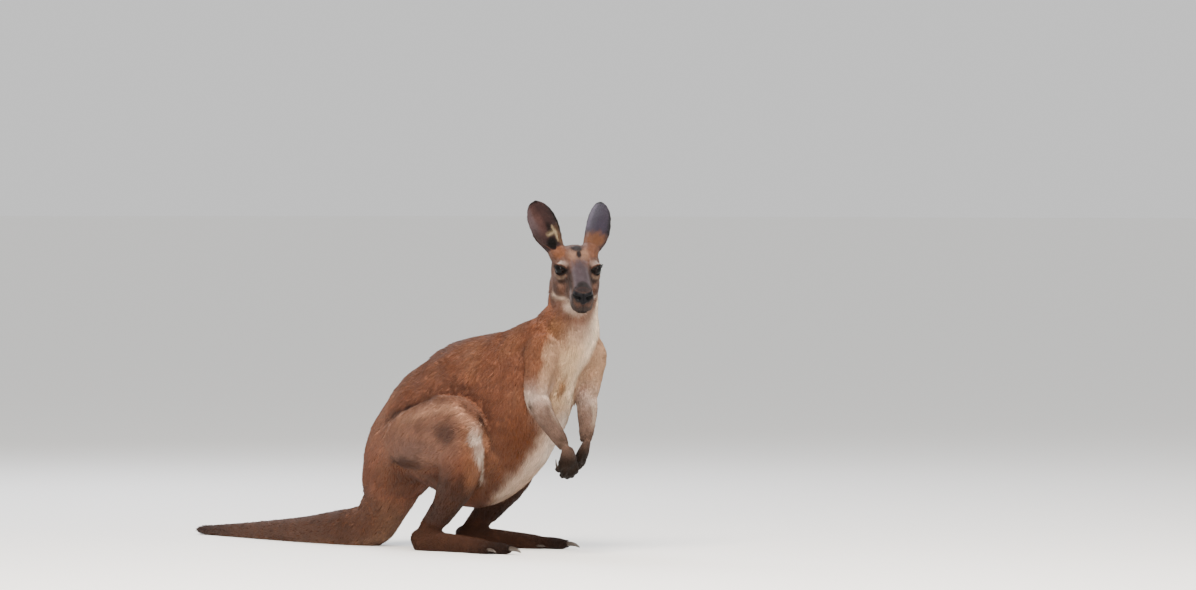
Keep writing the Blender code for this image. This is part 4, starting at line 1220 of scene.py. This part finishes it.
# %% Comb the hide
GIVEN_WAYS = {  # where the node's own line isn't the way that its hair lies
    "belly": (0, 0.8, -1.1),
    "rump": (0, 0.8, -1.1),
    "chest": (0, 0.15, -1.6),
    "thigh_left": (0.8, 0.9, -0.9),  # outward and back over the top, and round the front of the knee
    "thigh_right": (-0.8, 0.9, -0.9),
}
NOSE_TIP = np.array(head_place(104, 0, -16))
comb = np.zeros_like(co)
for number, name in enumerate(NAMES):
    mine = owner == number
    start, end = (np.array(p) for p in LINES[name])
    comb[mine] = GIVEN_WAYS.get(name, end - start)
    if name in ("belly", "rump", "chest"):
        comb[mine & (under > 0.35)] = (0, 0.15, -1.0)
    if name in ("head", "nose"):
        comb[mine] = co[mine] - NOSE_TIP
comb = relaxed(unit(comb), edges, 14)
comb = relaxed(comb, edges, 40, share=0.5 * ramp(coat_deep, 3.5, 6))
comb = comb * (1 - fringe[:, None]) + fringe_way * fringe[:, None]
flat_way = unit(relaxed(normals, edges, 4))  # laid on the form, not on each small bump
comb = unit(comb - flat_way * (comb * flat_way).sum(axis=1)[:, None])

print("on average the coat leans this far left, back and up:", comb.mean(axis=0).round(2))

# %% Length, width and cover of the tufts
FRINGE_LONGER = 11.0  # millimetres that the pale hairs inside the ears are longer than those round them
BARE_VERTEX, BARE_TRIANGLE = 0.4, 0.6  # nothing that is barer than this carries tufts
hair_long, hair_wide, layers = (coat_value(column, 10) for column in (1, 2, 3))
muzzle = ramp(f, 30, 75) * head
bent = 1 - (normals * calm).sum(axis=1)  # much where the hide turns sharply
in_fold = np.clip(fold + behind_arm, 0, 1)
for side in SIDES:  # the forearm's hair runs out smoothly over the wrist
    past = weight("forearm_" + side) * ramp(along_line(co, "forearm_" + side), 0.7, 1.0)
    hair_long = hair_long * (1 - 0.4 * past)
hair_long = hair_long * (1 - 0.5 * muzzle) * (1 - 0.55 * in_fold)
hair_long = hair_long * (1 - 0.5 * ramp(bent, 0.02, 0.15) * ramp(coat_deep, 2, 4)) + FRINGE_LONGER * fringe
hair_wide = hair_wide * (1 - 0.25 * muzzle)
for side in SIDES:  # short hair round the eyes, and none in their openings
    opening, distance, _, _ = eye_opening(co, side)
    close = ramp(distance, 2.2 * EYE_RADIUS, 1.2 * EYE_RADIUS)
    hair_long = hair_long * (1 - 0.5 * close)
    bare = np.maximum(bare, (distance < 1.6 * EYE_RADIUS) * ramp(opening, 1.2, 1.1))
lips, _ = from_path(f, u, MOUTH)
bare = np.maximum(bare, (lips < 1.2) * (f > 36) * (u < -30) * head)
bare = np.maximum(bare, ramp(co[:, 2], SOLE, SOLE / 3))
stand = coat_value(0, 14)

hide.data.calc_loop_triangles()
corners = read(hide.data.loop_triangles, "vertices", 3, np.int32)
sides = co[corners[:, 1]] - co[corners[:, 0]], co[corners[:, 2]] - co[corners[:, 0]]
area = np.linalg.norm(np.cross(*sides), axis=1) / 2 / MM**2
cover = layers / (hair_long * hair_wide * 0.5) * (bare < BARE_VERTEX)  # tufts on a square millimetre
wanted = area * cover[corners].mean(axis=1) * (bare[corners].max(axis=1) < BARE_TRIANGLE)
print("the hide is", round(area.sum() / 1e6, 3), "square metres and takes", int(wanted.sum()), "tufts")

# %% [markdown]
# ## Tufts
#
# Real fur is millions of hairs. Seen from a few metres they read as locks: thin, pointed, overlapping. Hair
# curves would draw them, but they don't survive as a mesh, so each lock is a slim closed spindle of four
# triangles, with a root under the hide, a flat middle and a free tip. All of them are computed at once as
# arrays and joined into one mesh for each part of the body. Random numbers come from one seeded source.

# %% Choose the roots
MOST_IN_ALL = 350000
tufts = min(MOST_IN_ALL, int(wanted.sum()))
chosen = np.sort(chance.choice(len(corners), size=tufts, p=wanted / wanted.sum()))
shares = chance.dirichlet((1, 1, 1), len(chosen))


def at_roots(values):
    """The values of the vertices, taken at each tuft's place in its triangle."""
    values = np.asarray(values, float)
    flat = values.reshape(len(values), -1)[corners[chosen]]
    return (flat * shares[:, :, None]).sum(axis=1).reshape((len(chosen),) + values.shape[1:])


root = at_roots(co)
up = unit(at_roots(normals))
lie = at_roots(comb)
calm_face = 1 - 0.5 * at_roots(head)
sway = waves(root, 26, 21) * 0.28 + waves(root, 9, 22) * 0.16 + chance.normal(0, 0.12, len(root))
sideways = np.cross(lie, up)
lie = lie + sideways * (sway * calm_face)[:, None]
lie = unit(lie - up * (lie * up).sum(axis=1)[:, None])
sideways = unit(np.cross(lie, up))
long = at_roots(hair_long) * chance.uniform(0.72, 1.25, len(root)) * MM
wide = at_roots(hair_wide) * chance.uniform(0.75, 1.3, len(root)) * MM
sheltered = 1 - 0.55 * in_fold
high = at_roots(stand * sheltered) * chance.uniform(0.72, 1.08, len(root)) * MM
shade = 1 + chance.normal(0, 0.13, len(root)) * calm_face
shade *= 1 + 0.13 * waves(root, 14, 23) + 0.08 * waves(root, 5, 24)
tuft_paint = at_roots(paint) * np.clip(shade, 0.5, 1.6)[:, None]
root_node = owner[corners[chosen][:, 0]]
print(len(root), "tufts,", round(float(np.median(long)) / MM, 1), "mm long at the median")

# %% Build the tufts
SPINDLE = np.array([(0, 2, 1), (3, 1, 2), (0, 1, 3), (0, 3, 2)])  # of root, left, right and tip
TONES = np.array([0.78, 0.96, 0.96, 1.25])  # dark at the root and pale at the tip
ROOT_DEPTH = 0.5 * MM  # how far a tuft starts under the hide
WIDEST_AT = 0.38  # of its length
OFF_FLOOR = 0.3 * MM  # no tuft comes nearer to the floor
PATCH = 0.0015  # half of a tuft's patch on the map
PATCH_PLACES = np.array([(0, -1), (-0.8, -0.1), (0.8, -0.1), (0, 1)]) * PATCH
MOST_TUFTS = 48000  # in one piece, which keeps it under 200,000 triangles


def spindles(root, lie, sideways, up, long, wide, high):
    """The four corners of every tuft, as one array."""
    flank = root + lie * (WIDEST_AT * long)[:, None] + up * (0.55 * high + 0.1 * wide)[:, None]
    tip = root + lie * long[:, None] + up * (0.92 * high)[:, None]
    half = sideways * (wide / 2)[:, None]
    made = np.stack([root - up * ROOT_DEPTH, flank - half, flank + half, tip], axis=1)
    made[:, :, 2] = np.maximum(made[:, :, 2], OFF_FLOOR)
    return made


def map_places(points, nodes):
    """Each root's place on an unwrap: a cell for each node, round the node's line and along it."""
    kinds = sorted(set(nodes.tolist()))
    columns = math.ceil(math.sqrt(len(kinds)))
    found = np.zeros((len(points), 2))
    for cell, number in enumerate(kinds):
        mine = nodes == number
        start, end = (np.array(p) for p in LINES[NAMES[number]])
        way = (end - start) / np.linalg.norm(end - start)
        aside = np.cross(way, (0.31, 0.17, 0.94))
        aside /= np.linalg.norm(aside)
        away = points[mine] - start
        around = np.arctan2(away @ np.cross(way, aside), away @ aside) / (2 * np.pi) + 0.5
        far = away @ way
        far = (far - far.min()) / max(far.max() - far.min(), 1e-9)
        corner = np.array((cell % columns, cell // columns))
        found[mine] = (corner + 0.03 + 0.94 * np.stack([around, far], axis=1)) / columns
    return found


def tuft_mesh(name, points, colours, nodes, patch_roots):
    """One joined mesh of tufts with its colours and its map."""
    count = len(points)
    mesh = bpy.data.meshes.new(name)
    triangles = (SPINDLE[None] + (np.arange(count) * 4)[:, None, None]).reshape(-1, 3)
    mesh.vertices.add(count * 4)
    mesh.vertices.foreach_set("co", points.astype(np.float32).ravel())
    mesh.loops.add(len(triangles) * 3)
    mesh.loops.foreach_set("vertex_index", triangles.astype(np.int32).ravel())
    mesh.polygons.add(len(triangles))
    mesh.polygons.foreach_set("loop_start", np.arange(0, len(triangles) * 3, 3, dtype=np.int32))
    mesh.update(calc_edges=True)
    paint_attribute(mesh, (colours[:, None, :] * TONES[None, :, None]).reshape(-1, 3))
    flat = (map_places(patch_roots, nodes)[:, None, :] + PATCH_PLACES[None]).reshape(-1, 2)
    layer = mesh.uv_layers.new(name="OFBake")
    layer.data.foreach_set("uv", flat[triangles.ravel()].astype(np.float32).ravel())
    return placed(name, mesh)


print("a tuft of", len(SPINDLE), "triangles, on a patch of the map", 2 * PATCH, "wide")

# %% Material and pieces of the coat
# Hair is keratin: a soft gloss on each lock, and bands of light and dark every few millimetres along it.
HAIR_GLOSS = dict(Roughness=0.6, Specular_IOR_Level=0.1, Sheen_Weight=0.03, Sheen_Roughness=0.4)
hair_coat, tree, shader = material("fine fur in tufts", **HAIR_GLOSS)
fur_colour(tree, shader, 2.4, 2.0, 0.18)

COATS = {  # piece: the nodes whose tufts it holds, and its finish
    "coat_head": (("head", "nose"), "coat_red"),
    "coat_ears": (("ear",), "ear_grey"),
    "coat_neck": (("neck",), "coat_red"),
    "coat_chest": (("chest",), "coat_red"),
    "coat_belly": (("belly",), "coat_red"),
    "coat_rump": (("rump",), "coat_red"),
    "coat_thighs": (("thigh",), "coat_red"),
    "coat_shanks": (("shank",), "coat_red"),
    "coat_feet": (("foot",), "paw_dark"),
    "coat_arms": (("upper_arm", "forearm"), "limb_grey"),
    "coat_hands": (("hand",), "paw_dark"),
    "coat_tail": (("tail",), "coat_red"),
}
points = spindles(root, lie, sideways, up, long, wide, high)


def laid_back(tips, proud):
    """Tips that stand out past the animal's outline by more than `proud` are laid back on it."""
    kept = tips.copy()
    for i, tip in enumerate(tips.tolist()):
        place, way, _, far = whole_tree.find_nearest(tip)
        if far > proud[i] and (Vector(tip) - place).dot(way) > 0:
            kept[i] = place + way * proud[i]
    return kept


PROUD = 0.25  # of the coat's depth
LEAST_PROUD = 0.4 * MM
PAST_TAIL = 10 * MM  # the last hairs reach past the tail's end
past_tail = PAST_TAIL * ramp(along_line(root, "tail_tip"), 0.9, 1.0)
points[:, 3] = laid_back(points[:, 3], at_roots(stand) * PROUD * MM + LEAST_PROUD + past_tail)
made_tufts = 0
for name, (starts, slot) in COATS.items():
    numbers = [i for i, node in enumerate(NAMES) if node.startswith(starts)]
    mine = np.flatnonzero(np.isin(root_node, numbers))
    parts = math.ceil(len(mine) / MOST_TUFTS)
    mine = mine[np.argsort(root[mine, 1], kind="stable")]
    for part, some in enumerate(np.array_split(mine, parts)):
        title = name if parts == 1 else f"{name}_{part + 1}"
        piece = tuft_mesh(title, points[some], tuft_paint[some], root_node[some], root[some])
        dressed(piece, hair_coat, slot)
        made_tufts += len(some)
        print(title, len(some), "tufts")
print("the coat has", made_tufts * 4, "triangles")

# %% [markdown]
# ## Claws
#
# A claw is a curved horn cone, glossy and nearly black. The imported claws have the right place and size, but
# flat facets. So for each paw the copies of its claws are joined, and the Subdivision Surface modifier
# rounds them. Horn grows in fine lines, which a noise in its colour and its bump stands for.

# %% Claws of each paw
# Claw horn is worn smooth, so it shines softly. Its growth lines are drawn ten times as coarse as real ones,
# which wouldn't show.
horn, tree, shader = material("dark horn", Roughness=0.35)
where = add(tree, "ShaderNodeTexCoord")
lines = add(tree, "ShaderNodeTexNoise", {"Vector": where.outputs["Object"]}, Scale=grain(3.3), Detail=4.0)
tone = add(tree, "ShaderNodeValToRGB", {"Fac": lines.outputs["Fac"]})
tone.color_ramp.elements[0].color = (*linear("#1c1714"), 1)
tone.color_ramp.elements[1].color = (*linear("#4a3f36"), 1)
tree.links.new(tone.outputs["Color"], shader.inputs["Base Color"])
bump = add(tree, "ShaderNodeBump", {"Height": lines.outputs["Fac"]}, Strength=0.3, Distance=0.3 * MM)
tree.links.new(bump.outputs["Normal"], shader.inputs["Normal"])
CLAWS = sorted(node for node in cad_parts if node.startswith("claw_"))
for paw, is_foot in (("hand", False), ("foot", True)):
    for side in SIDES:
        mine = [n for n in CLAWS if n.endswith(side) and ("_toe_" in n) == is_foot]
        bm = bmesh.new()
        for node in mine:
            bm.from_mesh(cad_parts[node].data)
        bmesh.ops.remove_doubles(bm, verts=bm.verts, dist=SAME_PLACE)
        piece = mesh_object(f"claws_{paw}_{side}", bm)
        modified(piece, "SUBSURF", levels=2, render_levels=2)
        dressed(piece, horn, "claw_horn", *mine)
        print(piece.name, len(mine), "claws,", triangle_count(piece.data), "triangles")

# %% [markdown]
# ## Sizes
#
# The sizes of the imported model and of the finished one are printed, so that the two can be compared.

# %% Sizes and finish
size = {"cad": [list(map(float, corner)) for corner in CAD_BOX]}
size["visual"] = [list(map(float, corner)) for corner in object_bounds()]
print(size)
